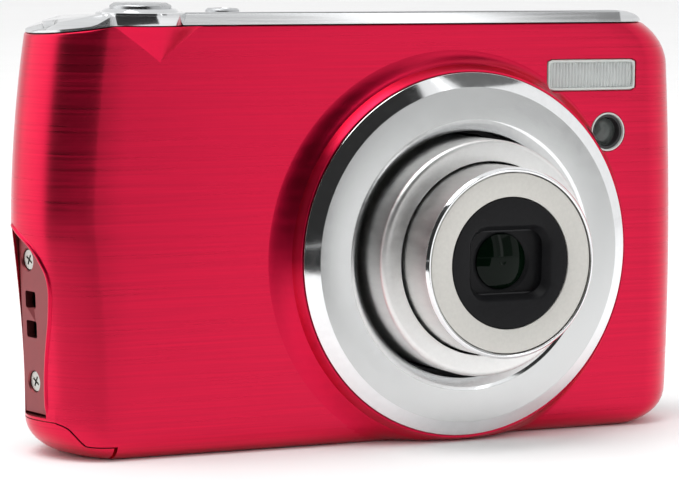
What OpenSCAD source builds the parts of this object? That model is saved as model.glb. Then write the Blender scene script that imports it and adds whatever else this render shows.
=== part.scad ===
// Compact digital camera with a retracting zoom lens.
// Frame: X to the right seen from the front, Y to the back, Z up.
// The base plane is Z = 0, the tripod socket mouth is the origin.

/* [Body] */
// Overall width of the body over both bulged sides
body_w = 96; // [90:0.5:104]
// Depth of the body without lens and keys
body_d = 21; // [19:0.5:26]
// Height of the top of the silver cap
body_h = 57.1; // [54:0.1:62]
// Height of the line between the red case and the silver cap
cap_line = 55.35; // [52:0.05:58]
// Wall thickness of the case halves
wall = 1.2; // [0.8:0.1:2]
// Distance of the case seam behind mid-depth
seam_y = 1.5; // [-2:0.5:3]
// Inward lean of the left side from its widest height to the base
bulge_l = 2; // [0:0.1:3]
// Inward lean of the right side from its widest height to the base
bulge_r = 0.9; // [0:0.1:3]

/* [Corners] */
// Width of the rounding from the front face into the left side
front_l_a = 7.5; // [4:0.5:12]
// Width of the rounding from the front face into the right side
front_r_a = 7; // [4:0.5:12]
// Depth of the rounding from the front face into the right side
front_r_b = 8; // [4:0.5:9]
// Width of the rounding from the left side into the back
rear_l_a = 8.5; // [4:0.5:12]
// Fullness of the left rounding into the back, from a flat bevel at 0 to a full ellipse at 1
rear_l_full = 0.35; // [0.2:0.05:1]
// Width of the rounding from the right side into the back
rear_r_a = 5.5; // [3:0.5:10]
// Width of the large top right corner
top_r_a = 11.5; // [6:0.5:18]
// Height of the large top right corner
top_r_b = 8; // [4:0.5:14]
// Width of the two lower corners
low_a = 7.5; // [4:0.5:12]
// Height of the two lower corners
low_b = 5; // [3:0.5:10]
// Rounding of the lower front edge
foot_r = 3; // [1:0.5:4]

/* [Lens] */
// Lens axis to the right of the body centre
lens_x = 11.6; // [6:0.1:16]
// Lens axis above the base
lens_z = 25; // [23:0.1:30]
// Outer radius of the satin lens ring
ring_r = 24.1; // [20:0.1:26]
// Height of the ring rim in front of mid-depth
ring_rim = 13.1; // [12:0.1:15]
// Bore radius of the lens ring
ring_bore = 16.4; // [16:0.05:18]
// Radius of the outer barrel
barrel1_r = 15.6; // [14:0.05:16]
// Front plane of the outer barrel at rest, in front of mid-depth
barrel1_front = 18.5; // [16:0.1:22]
// Length of the outer barrel
barrel1_len = 14; // [10:0.5:16]
// Radius of the inner barrel
barrel2_r = 12.45; // [11:0.05:13]
// Front plane of the inner barrel at rest, in front of mid-depth
barrel2_front = 24.9; // [20:0.1:30]
// Length of the inner barrel
barrel2_len = 15.9; // [10:0.1:18]
// Radius of the dark disc in the lens face
disc_r = 8.6; // [7:0.1:10]
// Radius of the front glass
glass_r = 3.6; // [2.5:0.1:5]
// Width of the recess in the dark disc
recess_w = 11.9; // [8:0.1:13]
// Height of the recess in the dark disc
recess_h = 9.7; // [7:0.1:11]

/* [Front] */
// Flash window centre to the right of the body centre
flash_x = 31.8; // [26:0.1:34]
// Flash window centre above the base
flash_z = 48.35; // [44:0.05:50]
// Flash window width
flash_w = 13.7; // [10:0.1:18]
// Flash window height
flash_h = 4.15; // [3:0.05:7]
// Number of lens ribs on the flash window
flash_ribs = 17; // [7:1:25]
// Focus lamp centre to the right of the body centre
lamp_x = 34.5; // [30:0.1:38]
// Focus lamp centre above the base
lamp_z = 40.6; // [36:0.1:44]
// Focus lamp hole radius
lamp_r = 2.5; // [1.5:0.1:4]

/* [Top] */
// Shutter button centre to the right of the body centre
shutter_x = -33.1; // [-38:0.1:-28]
// Shutter button centre behind mid-depth
shutter_y = -7.2; // [-8:0.1:-3]
// Shutter button radius
shutter_r = 3.95; // [3:0.05:6]
// Radius of the raised platform around the shutter button
dais_r = 5.4; // [5:0.1:8]
// Height of the top of the shutter button
shutter_top = 58.25; // [57.5:0.05:60]
// Power button centre to the right of the body centre
power_x = -20.4; // [-24:0.1:-10]
// Power button radius
power_r = 2.2; // [1.5:0.1:4]

/* [Back] */
// Display window centre to the right of the body centre
lcd_x = 11.5; // [8:0.5:14]
// Display window width
lcd_w = 60; // [54:0.5:62]
// Display window height
lcd_h = 45; // [40:0.5:46]
// Display window centre above the base
lcd_z = 29; // [26:0.5:31]
// Key field centre to the right of the body centre
pad_x = -29.6; // [-31:0.1:-28]
// Four-way ring centre above the base
pad_z = 24; // [20:0.5:30]
// Four-way ring outer radius
pad_r = 8.3; // [7:0.1:9]
// Confirm key radius
ok_r = 3.5; // [2.5:0.1:4]
// Radius of the small round keys
key_r = 2.4; // [1.8:0.1:3]
// How far the keys stand out of the back
key_out = 0.6; // [0.3:0.1:1.2]

/* [Battery bay] */
// Battery width
batt_w = 31.5; // [28:0.5:34]
// Battery thickness
batt_t = 5.9; // [4:0.1:7]
// Battery height
batt_h = 39.5; // [34:0.5:42]
// Left face of the battery to the right of the body centre
batt_x0 = -41.6; // [-42:0.1:-40]
// Front face of the battery behind mid-depth
batt_y0 = -7.7; // [-8:0.1:-7]
// Lower end of the battery above the base
batt_z0 = 4.6; // [4.5:0.1:6]
// Right end of the door plate to the right of the body centre
door_x1 = -11.5; // [-14:0.5:-11]
// Front end of the door corner to the right of the body centre
door_lip_x = -37.7; // [-40:0.1:-34]

/* [Hidden] */
$fn = 96;
tiny = 0.01;
big = 80;
gap = 0.3;
half_w = body_w / 2;
front_y = -body_d / 2;
back_y = body_d / 2;
inner_front = front_y + wall;
inner_back = back_y - wall;
belly_l = 30;
belly_r = 20;
lean_span_r = 28;
top_lean_l = 1.6;
low_l_x = -half_w + bulge_l;
low_r_x = half_w - bulge_r * pow((low_b - belly_r) / lean_span_r, 2);
top_l_z = 53;
top_l_x = -half_w + top_lean_l;
top_r_z = body_h - top_r_b;
top_r_x = half_w - bulge_r * pow((top_r_z - belly_r) / lean_span_r, 2);
slope_x = -38.5;
slope_end_x = -45.2;
slope_end_z = body_h - 1.15;
steps = 10;
hinge_x = -8.6;
hinge_z = 2.3;
knuckle_r = 2.1;
hinge_r = 0.6;
plate_t = 1.2;
plate_y0 = -8;
plate_y1 = 4.2;
rear_in = 0.75;
panel_x = -45.2;
panel_y = seam_y - 0.8;
panel_turn = 9;
panel_lean = 3;
panel_t = 1.1;
strap_y = -2.5;
strap_w = 2.6;
strap_h = 2.3;
strap_z_hi = 20.3;
strap_z_lo = 16.5;
screw_hi = [-2.1, 25.4];
screw_lo = [-2.5, 9.7];
screw_r = 1.35;
dais_tip = [-31.4, 50.9];
collar_foot = 26.6;
collar_crest = 25.2;
crest_h = 1;
block_r = 19.2;
block_bore = 16.1;
block_back = -3.2;
blade_z0 = 22.7;
blade_t = 0.4;
blade_edge = 4;
blade_r = 11;
tripod_r = 3.175;
tripod_depth = 5.5;
tripod_flange = 5;
usb_z = 30;
usb_h = 10;
usb_y0 = -3.4;
usb_y1 = 0.7;
board_y = 4.4;
board_t = 1;
keyboard_y = 6.4;
keyboard_t = 0.8;
stem_r = 1.2;
power_y = -4.5;
rocker_z = 49.3;
rocker_w = 13;
rocker_h = 4.6;
low_row = 9.5;
high_row = 38.6;
key_dx = 5.4;
record_z = 43.8;
led_x = -21.2;
lamp_depth = 0.9;
lamp_t = 2;
batt_z1 = batt_z0 + batt_h;
bay_wall = 0.7;
bay_gap = 0.15;
contact_h = 1;
contact_w = 1.4;
contact_l = 3;
contact_pitch = 3;
contact_in = 5;
latch_in = 6;
latch_w = 5;
latch_t = 1.8;
latch_h = 0.5;
nut_h = 6.7;
nut_neck_r = 4.4;
flange_t = 1.4;
base_spots = [[-3.5, 7], [27, 7], [20, -6], [38, -6]];
base_hole_r = 1.5;
base_screw_r = 1.4;
base_shank_r = 0.7;
head_t = 0.7;
speaker_x = 24;
speaker_y = 1.5;
speaker_r = 4.2;
speaker_t = 2.6;
sound_pitch = 1.8;
sound_r = 0.5;
mic_x = -8;
mic_y = -4.5;
mic_pitch = 1.6;
mic_r = 0.4;
card_x = -26;
card_y = 0.4;
card_z = 4;
card_w = 24;
card_h = 32;
card_t = 2.1;
card_notch = 4;
card_gap = 0.2;
slot_wall = 0.5;
slot_z0 = 6;
motor_at = [29, 2, 7.8];
motor_r = 4;
motor_h = 9;
capacitor_at = [39.3, -1.4, 3];
capacitor_r = 3.6;
capacitor_h = 21;
reflector_w = 12;
reflector_h = 3.8;
reflector_wall = 0.6;
tube_r = 1;
rib_w = 0.3;
rib_end = 0.45;
lens_curve = 12;
lcd_y0 = 5.9;
lcd_y1 = 9.2;
lcd_edge = 1;
keyboard_x0 = -39.5;
keyboard_x1 = -19.8;
keyboard_z0 = 5;
board_x0 = -18;
board_x1 = 43;
board_z0 = 7;
board_z1 = 51;
frame_x = 42;
frame_y = 3.5;
frame_t = 0.6;
frame_top = 52;
frame_hole_x = [-34, -24];
frame_hole_z = 42;
frame_hole_r = 2.5;
sensor_gap_w = 10;
sensor_gap_h = 9;
key_foot = 0.6;
button_seat = 0.8;
spring_r = 1.8;
spring_wire = 0.2;
spring_pitch = 0.5;
led_r = 0.8;
port_wall = 0.7;
port_d = 6.3;
cap_edge = [[-70, 51.2], [-46, 54.15], [-38, cap_line], [70, cap_line]];

red = [0.78, 0.06, 0.2];
silver = [0.78, 0.79, 0.8];
satin = [0.86, 0.86, 0.85];
dark = [0.1, 0.1, 0.11];
black = [0.04, 0.04, 0.05];
maroon = [0.42, 0.2, 0.24];
glass = [0.3, 0.45, 0.42, 0.6];
clear = [0.85, 0.9, 0.92, 0.6];
steel = [0.6, 0.6, 0.62];
brass = [0.72, 0.6, 0.32];
green = [0.05, 0.35, 0.2];
champagne = [0.8, 0.78, 0.72];

// Point list of an elliptical arc from angle a0 to a1
function arc(cx, cy, a, b, a0, a1) =
  [for (i = [0 : steps]) [cx + a * cos(a0 + (a1 - a0) * i / steps),
                          cy + b * sin(a0 + (a1 - a0) * i / steps)]];

function left_x(z) = z < belly_l
  ? -half_w + bulge_l * sin(90 * (belly_l - z) / (belly_l - low_b))
  : -half_w + top_lean_l * pow((z - belly_l) / (top_l_z - belly_l), 2);

function right_x(z) = half_w - bulge_r * pow((z - belly_r) / lean_span_r, 2);

// Arc points drawn in toward the chord of the arc
function rear_left(full) =
  [for (i = [0 : steps]) let (chord = full[0] + (full[steps] - full[0]) * i / steps)
    chord + (full[i] - chord) * rear_l_full];

// Outline seen from the front, in X and Z
module front_outline() {
  polygon(concat(
    arc(low_l_x + low_a, low_b, low_a, low_b, 270, 180),
    [for (i = [1 : steps]) let (z = low_b + (top_l_z - low_b) * i / steps) [left_x(z), z]],
    [[top_l_x + 0.4, 54.7], [slope_end_x, slope_end_z], [slope_x, body_h - 0.1]],
    [[slope_x + 4, body_h]],
    arc(top_r_x - top_r_a, top_r_z, top_r_a, top_r_b, 90, 0),
    [for (i = [1 : steps]) let (z = top_r_z + (low_b - top_r_z) * i / steps) [right_x(z), z]],
    arc(low_r_x - low_a, low_b, low_a, low_b, 0, -90)));
}

// Outline seen from above, in X and Y
module plan_outline() {
  polygon(concat(
    arc(-half_w + front_l_a, 0, front_l_a, body_d / 2, 180, 270),
    arc(half_w - front_r_a, front_y + front_r_b, front_r_a, front_r_b, 270, 360),
    arc(half_w - rear_r_a, seam_y, rear_r_a, back_y - seam_y, 0, 90),
    rear_left(arc(-half_w + rear_l_a, seam_y, rear_l_a - rear_in, back_y - seam_y, 90, 180))));
}

// Outline seen from the side, in Y and Z
module side_outline() {
  polygon(concat(
    arc(front_y + foot_r, foot_r, foot_r, foot_r, 270, 180),
    [[front_y, body_h - 0.3], [front_y + 0.3, body_h]],
    arc(back_y - 3.5, body_h - 4.2, 3.5, 3.5, 90, 0),
    arc(back_y - 4, 4, 4, 4, 0, -90)));
}

// Full body solid, drawn in by d on every side
module body_solid(d) {
  intersection() {
    translate([0, 0, -1])
      linear_extrude(body_h + 2) offset(delta = -d) plan_outline();
    translate([0, big / 2, 0]) rotate([90, 0, 0])
      linear_extrude(big) offset(delta = -d) front_outline();
    translate([-big, 0, 0]) rotate([90, 0, 90])
      linear_extrude(2 * big) offset(delta = -d) side_outline();
  }
}

// Frame whose Z runs forward along the lens axis
module on_lens() {
  translate([lens_x, 0, lens_z]) rotate([90, 0, 0]) children();
}

// Frame whose Z runs backward through the case back at x, z
module on_back(x, z) {
  translate([x, 0, z]) rotate([-90, 0, 0]) children();
}

module ring(r_out, r_in, z0, z1) {
  translate([0, 0, z0]) difference() {
    cylinder(r = r_out, h = z1 - z0);
    translate([0, 0, -1]) cylinder(r = r_in, h = z1 - z0 + 2);
  }
}

module block(x0, x1, y0, y1, z0, z1) {
  translate([x0, y0, z0]) cube([x1 - x0, y1 - y0, z1 - z0]);
}

module rounded_rect(w, h, r) {
  offset(r = r, $fn = 24) square([w - 2 * r, h - 2 * r], center = true);
}

// Space between the line under the cap and the height z
module cap_zone(z) {
  translate([0, big / 2, 0]) rotate([90, 0, 0]) linear_extrude(big)
    polygon(concat(cap_edge, [[70, z], [-70, z]]));
}

// Corner wrapped by the battery door, in X and Z
module corner_outline() {
  polygon([[-60, -5], [door_lip_x, -5], [door_lip_x, 1.8], [-40.6, 1.9], [-41.5, 2.3],
    [-42.5, 3.4], [-43.3, 4.3], [-44.4, 4.85], [-60, 5.1]]);
}

module door_zone(grow) {
  translate([0, big / 2, 0]) rotate([90, 0, 0]) linear_extrude(big)
    offset(delta = grow) corner_outline();
  block(door_lip_x - 4, door_x1 + grow, plate_y0 - grow, plate_y1 + grow, -5, plate_t + grow);
}

// Scalloped outline of the strap panel, in Y and Z
module panel_outline() {
  polygon([[0, 5.5], [0, 29.5], [-1.36, 29.17], [-3.04, 28.29], [-4.45, 27.39], [-5.59, 26.22],
    [-6.33, 25.01], [-6.87, 23.78], [-7.07, 22.01], [-6.88, 19.69], [-6.61, 17.61],
    [-6.23, 15.52], [-5.82, 12.89], [-5.6, 10.29], [-5.59, 7.7], [-5.75, 5.5]]);
}

// Frame of the strap panel, X runs inward, Y to the back from its rear edge
module on_panel() {
  translate([panel_x, panel_y, 0]) rotate([0, -panel_lean, panel_turn]) children();
}

module panel_zone(grow, x0, x1) {
  on_panel() translate([x0, 0, 0]) rotate([90, 0, 90]) linear_extrude(x1 - x0)
    offset(delta = grow) panel_outline();
}

// Raised platform for the shutter button running into the front as a point
module dais() {
  hull() {
    translate([shutter_x, shutter_y, body_h - 0.3]) cylinder(r = dais_r, h = 0.3, $fn = 48);
    translate([dais_tip[0], front_y + 0.5, dais_tip[1]]) cylinder(r = 0.5, h = 0.2, $fn = 12);
    translate([dais_tip[0], front_y + 4, dais_tip[1]]) cylinder(r = 0.5, h = 0.2, $fn = 12);
  }
}

// Low flared rim that carries the lens ring, cut off at the base
module collar() {
  intersection() {
    on_lens() {
      translate([0, 0, -inner_front]) cylinder(r = collar_foot, h = wall);
      translate([0, 0, -front_y]) cylinder(r1 = collar_foot, r2 = collar_crest, h = crest_h);
      translate([0, 0, crest_h - front_y])
        cylinder(r1 = collar_crest, r2 = ring_r + 0.3, h = ring_rim - 0.2 - crest_h + front_y);
    }
    block(-big, big, -big, 0, 0, big);
  }
}

module front_holes() {
  on_lens() translate([0, 0, -inner_front - 0.1]) cylinder(r = ring_r + 0.1, h = 30);
  translate([flash_x, 0, flash_z]) rotate([90, 0, 0])
    linear_extrude(30) rounded_rect(flash_w + 0.2, flash_h + 0.2, 0.5);
  translate([lamp_x, 0, lamp_z]) rotate([90, 0, 0]) cylinder(r = lamp_r + 0.1, h = 30);
  block(half_w - 4, half_w + 4, usb_y0 - gap, usb_y1 + gap, usb_z - usb_h / 2 - gap,
    usb_z + usb_h / 2 + gap);
}

// Opening in the floor for the hinge barrel
module hinge_room() {
  block(door_x1 - 1, hinge_x + knuckle_r + gap, plate_y0 - gap, plate_y1 + gap, -1, plate_t + 1);
}

module base_holes() {
  for (p = base_spots) translate([p[0], p[1], -1]) cylinder(r = base_hole_r, h = 4);
}

// Room for the flange of the tripod socket
module nut_hole() {
  translate([0, 0, -1]) cylinder(r = tripod_flange + 0.1, h = 9);
}

module front_shell() color(red) {
  difference() {
    union() {
      difference() {
        body_solid(0);
        body_solid(wall);
      }
      collar();
      intersection() {
        dais();
        block(-big, big, -big, inner_front, 0, big);
      }
    }
    block(-big, big, seam_y, big, -1, big);
    cap_zone(big);
    door_zone(gap);
    panel_zone(0.1, -20, panel_t + 0.1);
    front_holes();
    base_holes();
    nut_hole();
    hinge_room();
  }
}

module rear_cover() color(dark) {
  difference() {
    body_solid(0);
    body_solid(wall);
    block(-big, big, -big, seam_y, -1, big);
    cap_zone(big);
    door_zone(gap);
    translate([lcd_x, 0, lcd_z]) rotate([-90, 0, 0])
      linear_extrude(30) rounded_rect(lcd_w + 0.2, lcd_h + 0.2, 2);
    on_back(pad_x, pad_z) cylinder(r = pad_r + gap, h = 30);
    for (p = [[-1, low_row], [1, low_row], [-1, high_row], [1, high_row]])
      on_back(pad_x + p[0] * key_dx, p[1]) cylinder(r = key_r + gap, h = 30);
    on_back(pad_x, record_z) cylinder(r = key_r - 0.4 + gap, h = 30);
    on_back(led_x, rocker_z) cylinder(r = led_r + 0.1, h = 30);
    translate([pad_x - 2, 0, rocker_z]) rotate([-90, 0, 0])
      linear_extrude(30) rounded_rect(rocker_w + 2 * gap, rocker_h + 2 * gap, 1.5);
    base_holes();
    nut_hole();
    hinge_room();
  }
}

module top_plate() color(silver) {
  difference() {
    union() {
      difference() {
        body_solid(0);
        body_solid(wall);
      }
      intersection() {
        dais();
        block(-big, big, -big, big, body_h - 3, big);
      }
    }
    cap_zone(-9);
    translate([shutter_x, shutter_y, 50]) cylinder(r = shutter_r + gap, h = 20);
    translate([power_x, power_y, 50]) cylinder(r = power_r + gap, h = 20);
    for (i = [-2 : 2])
      translate([speaker_x + sound_pitch * i, speaker_y, 50]) cylinder(r = sound_r, h = 20);
    for (i = [-1 : 1])
      translate([mic_x + mic_pitch * i, mic_y, 50]) cylinder(r = mic_r, h = 20);
  }
}

module strap_panel() color(maroon) {
  difference() {
    panel_zone(0, 0, panel_t);
    on_panel() {
      for (z = [strap_z_hi, strap_z_lo])
        block(-5, 5, strap_y - strap_w / 2, strap_y + strap_w / 2, z - strap_h / 2,
          z + strap_h / 2);
      for (s = [screw_hi, screw_lo])
        translate([-5, s[0], s[1]]) rotate([0, 90, 0]) cylinder(r = screw_r, h = 10);
    }
  }
}

// Cross-head screw, head down to z = 0 facing -Z
module screw(r, shank, len) {
  difference() {
    union() {
      cylinder(r = r, h = head_t);
      translate([0, 0, head_t]) cylinder(r = shank, h = len);
    }
    for (a = [0, 90])
      rotate(a) translate([-r * 0.6, -r * 0.12, -1]) cube([r * 1.2, r * 0.24, 1.4]);
  }
}

module panel_screws() color(steel) {
  for (s = [screw_hi, screw_lo])
    on_panel() translate([0.3, s[0], s[1]]) rotate([0, 90, 0]) rotate(30)
      screw(screw_r - 0.1, 0.6, 1);
}

module base_screws() color(steel) {
  for (p = base_spots)
    translate([p[0], p[1], wall - 0.4]) screw(base_screw_r, base_shank_r, 3);
}

module battery_door() color(red) {
  difference() {
    intersection() {
      body_solid(0);
      door_zone(0);
    }
    difference() {
      body_solid(wall);
      block(-big, big, -big, big, -1, plate_t);
    }
    block(door_lip_x - tiny, big, -big, plate_y0, -1, big);
    block(door_lip_x - tiny, big, plate_y1, big, -1, big);
  }
}

module door_hinge_bracket() color(steel) {
  difference() {
    union() {
      block(-36, hinge_x, plate_y0 + 1, plate_y1 - 1, plate_t + 0.2, plate_t + 1);
      translate([hinge_x, plate_y1, hinge_z]) rotate([90, 0, 0])
        cylinder(r = knuckle_r, h = plate_y1 - plate_y0);
    }
    translate([hinge_x, 10, hinge_z]) rotate([90, 0, 0]) cylinder(r = hinge_r + 0.05, h = 30);
  }
}

module door_hinge_pin() color(steel) {
  translate([hinge_x, plate_y1 + 0.9, hinge_z]) rotate([90, 0, 0])
    cylinder(r = hinge_r, h = plate_y1 - plate_y0 + 1.8);
}

module battery_box() color(black) {
  difference() {
    block(batt_x0 - bay_wall, batt_x0 + batt_w + bay_wall, batt_y0 - bay_wall,
      batt_y0 + batt_t + bay_wall, batt_z0, batt_z1 + contact_h + bay_wall);
    block(batt_x0 - bay_gap, batt_x0 + batt_w + bay_gap, batt_y0 - bay_gap,
      batt_y0 + batt_t + bay_gap, -1, batt_z1 + contact_h);
  }
}

module battery() color([0.2, 0.22, 0.26]) {
  translate([batt_x0 + batt_w / 2, batt_y0 + batt_t / 2, batt_z0]) linear_extrude(batt_h)
    rounded_rect(batt_w, batt_t, 1.2);
}

module battery_contacts() color(brass) {
  for (i = [0 : 2])
    translate([batt_x0 + contact_in + contact_pitch * i,
      batt_y0 + (batt_t - contact_l) / 2, batt_z1])
      cube([contact_w, contact_l, contact_h]);
}

module battery_latch() color([0.9, 0.5, 0.1]) {
  block(batt_x0 + latch_in, batt_x0 + latch_in + latch_w, batt_y0 + batt_t - latch_t / 2,
    batt_y0 + batt_t + latch_t / 2, batt_z0 - 0.2 - latch_h, batt_z0 - 0.2);
}

// Space of the memory card from the height z up, grown by d
module card_room(d, z) {
  block(card_x - card_w / 2 - d, card_x + card_w / 2 + d, card_y - d, card_y + card_t + d,
    z, card_z + card_h + d);
}

module sd_slot() color(steel) {
  difference() {
    card_room(card_gap + slot_wall, slot_z0);
    card_room(card_gap, slot_z0 - 1);
  }
}

module sd_card() color([0.08, 0.1, 0.3]) {
  translate([card_x - card_w / 2, card_y + card_t, card_z]) rotate([90, 0, 0])
    linear_extrude(card_t)
      polygon([[0, 0], [card_w, 0], [card_w, card_h], [card_notch, card_h],
        [0, card_h - card_notch]]);
}

module lens_ring() color(satin) on_lens() {
  rotate_extrude() polygon([[ring_bore, 9.4], [ring_r, 9.4], [ring_r, ring_rim],
    [22.2, ring_rim + 1], [17.85, ring_rim + 1.3], [17.5, ring_rim + 1.2],
    [ring_bore, ring_rim + 0.1]]);
}

module barrel_seal() color(black) on_lens() ring(ring_r - 5, barrel1_r + gap, 8.6, 9.4);

module lens_block() color(black) on_lens() {
  ring(block_r, block_bore, block_back, 8.5);
  difference() {
    translate([0, 0, block_back]) cylinder(r = block_bore + 0.5, h = 1.3);
    translate([-5, -4, block_back - 1]) cube([10, 8, 4]);
  }
}

module zoom_motor() color(steel) {
  translate(motor_at) rotate([90, 0, 0]) cylinder(r = motor_r, h = motor_h);
}

module focus_lens_group() color(glass) on_lens() {
  ring(8, 5.5, block_back + 1.4, 2.6);
  translate([0, 0, 0.4]) cylinder(r = 5.5, h = 1.6);
}

module image_sensor() color([0.2, 0.25, 0.5]) on_lens()
  translate([-4.4, -3.5, block_back - 0.7]) cube([8.8, 7, 1.4]);

module outer_barrel() color(satin) on_lens() {
  rotate_extrude() polygon(concat(
    [[barrel1_r - 1.2, barrel1_front - barrel1_len], [barrel1_r, barrel1_front - barrel1_len],
     [barrel1_r, barrel1_front - 1]],
    arc(barrel1_r - 0.75, barrel1_front - 1, 0.75, 0.7, 0, 80),
    [[barrel2_r + gap, barrel1_front], [barrel2_r + gap, barrel1_front - 1.2],
     [barrel1_r - 1.2, barrel1_front - 2]]));
}

module inner_barrel() color(satin) on_lens() {
  rotate_extrude() polygon([[barrel2_r - 1.1, barrel2_front - barrel2_len],
    [barrel2_r, barrel2_front - barrel2_len], [barrel2_r, barrel2_front - 0.35],
    [barrel2_r - 0.25, barrel2_front], [barrel2_r - 0.5, barrel2_front],
    [barrel2_r - 0.6, barrel2_front - 0.35], [barrel2_r - 0.6, barrel2_front - 1.4],
    [barrel2_r - 1.1, barrel2_front - 1.4]]);
}

module front_bezel() color(champagne) on_lens() {
  rotate_extrude() polygon([[disc_r, barrel2_front - 1.3], [barrel2_r - 0.7, barrel2_front - 1.3],
    [barrel2_r - 0.7, barrel2_front - 0.15], [disc_r, barrel2_front - 0.3]]);
}

module face_disc() color(black) on_lens() {
  difference() {
    translate([0, 0, barrel2_front - 1.6]) cylinder(r = disc_r - 0.05, h = 1.3);
    hull() {
      translate([0, 0, barrel2_front - 0.25]) linear_extrude(0.2)
        rounded_rect(recess_w, recess_h, 2.5);
      translate([0, 0, barrel2_front - 1.8]) linear_extrude(0.2)
        rounded_rect(recess_w - 1.6, recess_h - 1.6, 2);
    }
  }
}

module front_lens() color(glass) on_lens() {
  intersection() {
    translate([0, 0, blade_z0 - 3.2]) cylinder(r = glass_r, h = 3);
    translate([0, 0, blade_z0 - 0.2 - lens_curve]) sphere(r = lens_curve);
  }
}

module lens_holder() color(black) on_lens() {
  rotate_extrude() polygon([[glass_r, blade_z0 - 5.5], [barrel2_r - 1.15, blade_z0 - 5.5],
    [barrel2_r - 1.15, blade_z0 - 3], [6.5, blade_z0 - 0.3], [glass_r + 0.6, blade_z0 - 0.6],
    [glass_r, blade_z0 - 1]]);
}

module blade(side) {
  on_lens() intersection() {
    translate([0, 0, blade_z0]) cylinder(r = blade_r, h = blade_t);
    translate([-20, side > 0 ? blade_edge : -20 - blade_edge, blade_z0 - 1]) cube([40, 20, 3]);
  }
}

module barrier_blade_upper() color(dark) blade(1);

module barrier_blade_lower() color(dark) blade(-1);

module flash_window() color(clear) {
  difference() {
    translate([flash_x, front_y + 1.3, flash_z]) rotate([90, 0, 0])
      linear_extrude(1.2) rounded_rect(flash_w, flash_h, 0.4);
    for (i = [0 : flash_ribs - 1])
      translate([flash_x - flash_w / 2 + flash_w * (i + 1) / (flash_ribs + 1) - rib_w / 2,
        front_y, flash_z - flash_h / 2 + rib_end])
        cube([rib_w, 0.35, flash_h - 2 * rib_end]);
  }
}

module reflector_box(d, y0, y1) {
  block(flash_x - reflector_w / 2 - d, flash_x + reflector_w / 2 + d, y0, y1,
    flash_z - reflector_h / 2 - d, flash_z + reflector_h / 2 + d);
}

module flash_reflector() color(silver) {
  difference() {
    reflector_box(reflector_wall, front_y + 1.4, front_y + 6);
    reflector_box(0, front_y + 1, front_y + 6 - reflector_wall);
  }
}

module flash_tube() color(clear) {
  translate([flash_x - reflector_w / 2, front_y + 4, flash_z]) rotate([0, 90, 0])
    cylinder(r = tube_r, h = reflector_w);
}

module flash_capacitor() color(black) {
  translate(capacitor_at) cylinder(r = capacitor_r, h = capacitor_h);
}

module af_lamp_lens() color(clear) {
  translate([lamp_x, front_y + lamp_depth, lamp_z]) rotate([-90, 0, 0]) intersection() {
    cylinder(r = lamp_r - 0.5, h = lamp_t);
    translate([0, 0, 4]) sphere(r = 4);
  }
}

module af_lamp_holder() color(dark) {
  translate([lamp_x, front_y, lamp_z]) rotate([-90, 0, 0]) difference() {
    translate([0, 0, 0.3]) cylinder(r = lamp_r, h = 4.5);
    translate([0, 0, -1]) cylinder(r = lamp_r - 0.5, h = 1 + lamp_depth + lamp_t);
  }
}

module shutter_button() color(silver) {
  translate([shutter_x, shutter_y, 0]) {
    rotate_extrude()
      polygon(concat([[0, body_h - button_seat], [shutter_r, body_h - button_seat]],
        arc(shutter_r - 0.6, shutter_top - 0.5, 0.6, 0.5, 0, 90), [[0, shutter_top]]));
    translate([0, 0, body_h - 4]) cylinder(r = stem_r, h = 4 - button_seat + 0.1);
  }
}

module shutter_spring() color(steel) {
  translate([shutter_x, shutter_y, 0])
    for (i = [0 : 3]) translate([0, 0, body_h - 4 + spring_pitch * i])
      rotate_extrude($fn = 48) translate([spring_r, 0]) circle(r = spring_wire, $fn = 16);
}

module power_button() color(silver) {
  translate([power_x, power_y, 0]) {
    rotate_extrude() polygon([[0, body_h - 2.6], [power_r, body_h - 2.6],
      [power_r, body_h + 0.05], [power_r - 0.3, body_h + 0.3], [power_r - 0.9, body_h + 0.3],
      [power_r - 1.1, body_h], [0, body_h]]);
  }
}

module lcd_window() color(black) {
  translate([lcd_x, back_y - 0.05, lcd_z]) rotate([90, 0, 0])
    linear_extrude(1) rounded_rect(lcd_w, lcd_h, 1.9);
}

module lcd_panel() color([0.12, 0.14, 0.2])
  block(lcd_x - lcd_w / 2 + lcd_edge, lcd_x + lcd_w / 2 - lcd_edge, lcd_y0, lcd_y1,
    lcd_z - lcd_h / 2 + lcd_edge, lcd_z + lcd_h / 2 - lcd_edge);

module key(x, z, r) {
  on_back(x, z) {
    translate([0, 0, inner_back - 0.9]) cylinder(r = r + key_foot, h = 0.5);
    rotate_extrude() polygon([[0, inner_back - 0.5], [r, inner_back - 0.5],
      [r, back_y + key_out - 0.3], [r - 0.3, back_y + key_out], [0, back_y + key_out]]);
    translate([0, 0, inner_back - 1.3]) cylinder(r = stem_r, h = 0.5);
  }
}

module zoom_rocker() color(silver) {
  translate([pad_x - 2, 0, rocker_z]) rotate([-90, 0, 0]) {
    translate([0, 0, inner_back - 0.4]) linear_extrude(wall + key_out + 0.8)
      rounded_rect(rocker_w, rocker_h, 1.3);
  }
}

module dpad_gimbal() color(black) on_back(pad_x, pad_z)
  ring(6.6, 4.6, keyboard_y + keyboard_t + 0.4, keyboard_y + keyboard_t + 0.7);

module dpad_ring() color(silver) on_back(pad_x, pad_z) {
  rotate_extrude() polygon([[ok_r + gap, 8.7], [pad_r - 0.4, 8.7],
    [pad_r - 0.05, back_y + key_out - 0.4], [pad_r - 0.6, back_y + key_out],
    [ok_r + 1, back_y + key_out - 0.2], [ok_r + gap, back_y + key_out - 0.5]]);
}

module ok_key() color(silver) on_back(pad_x, pad_z) {
  rotate_extrude() polygon([[0, 8.4], [ok_r, 8.4], [ok_r, back_y + key_out - 0.4],
    [ok_r - 0.3, back_y + key_out - 0.1], [0, back_y + key_out - 0.1]]);
  translate([0, 0, 7.7]) cylinder(r = stem_r, h = 1);
}

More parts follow.
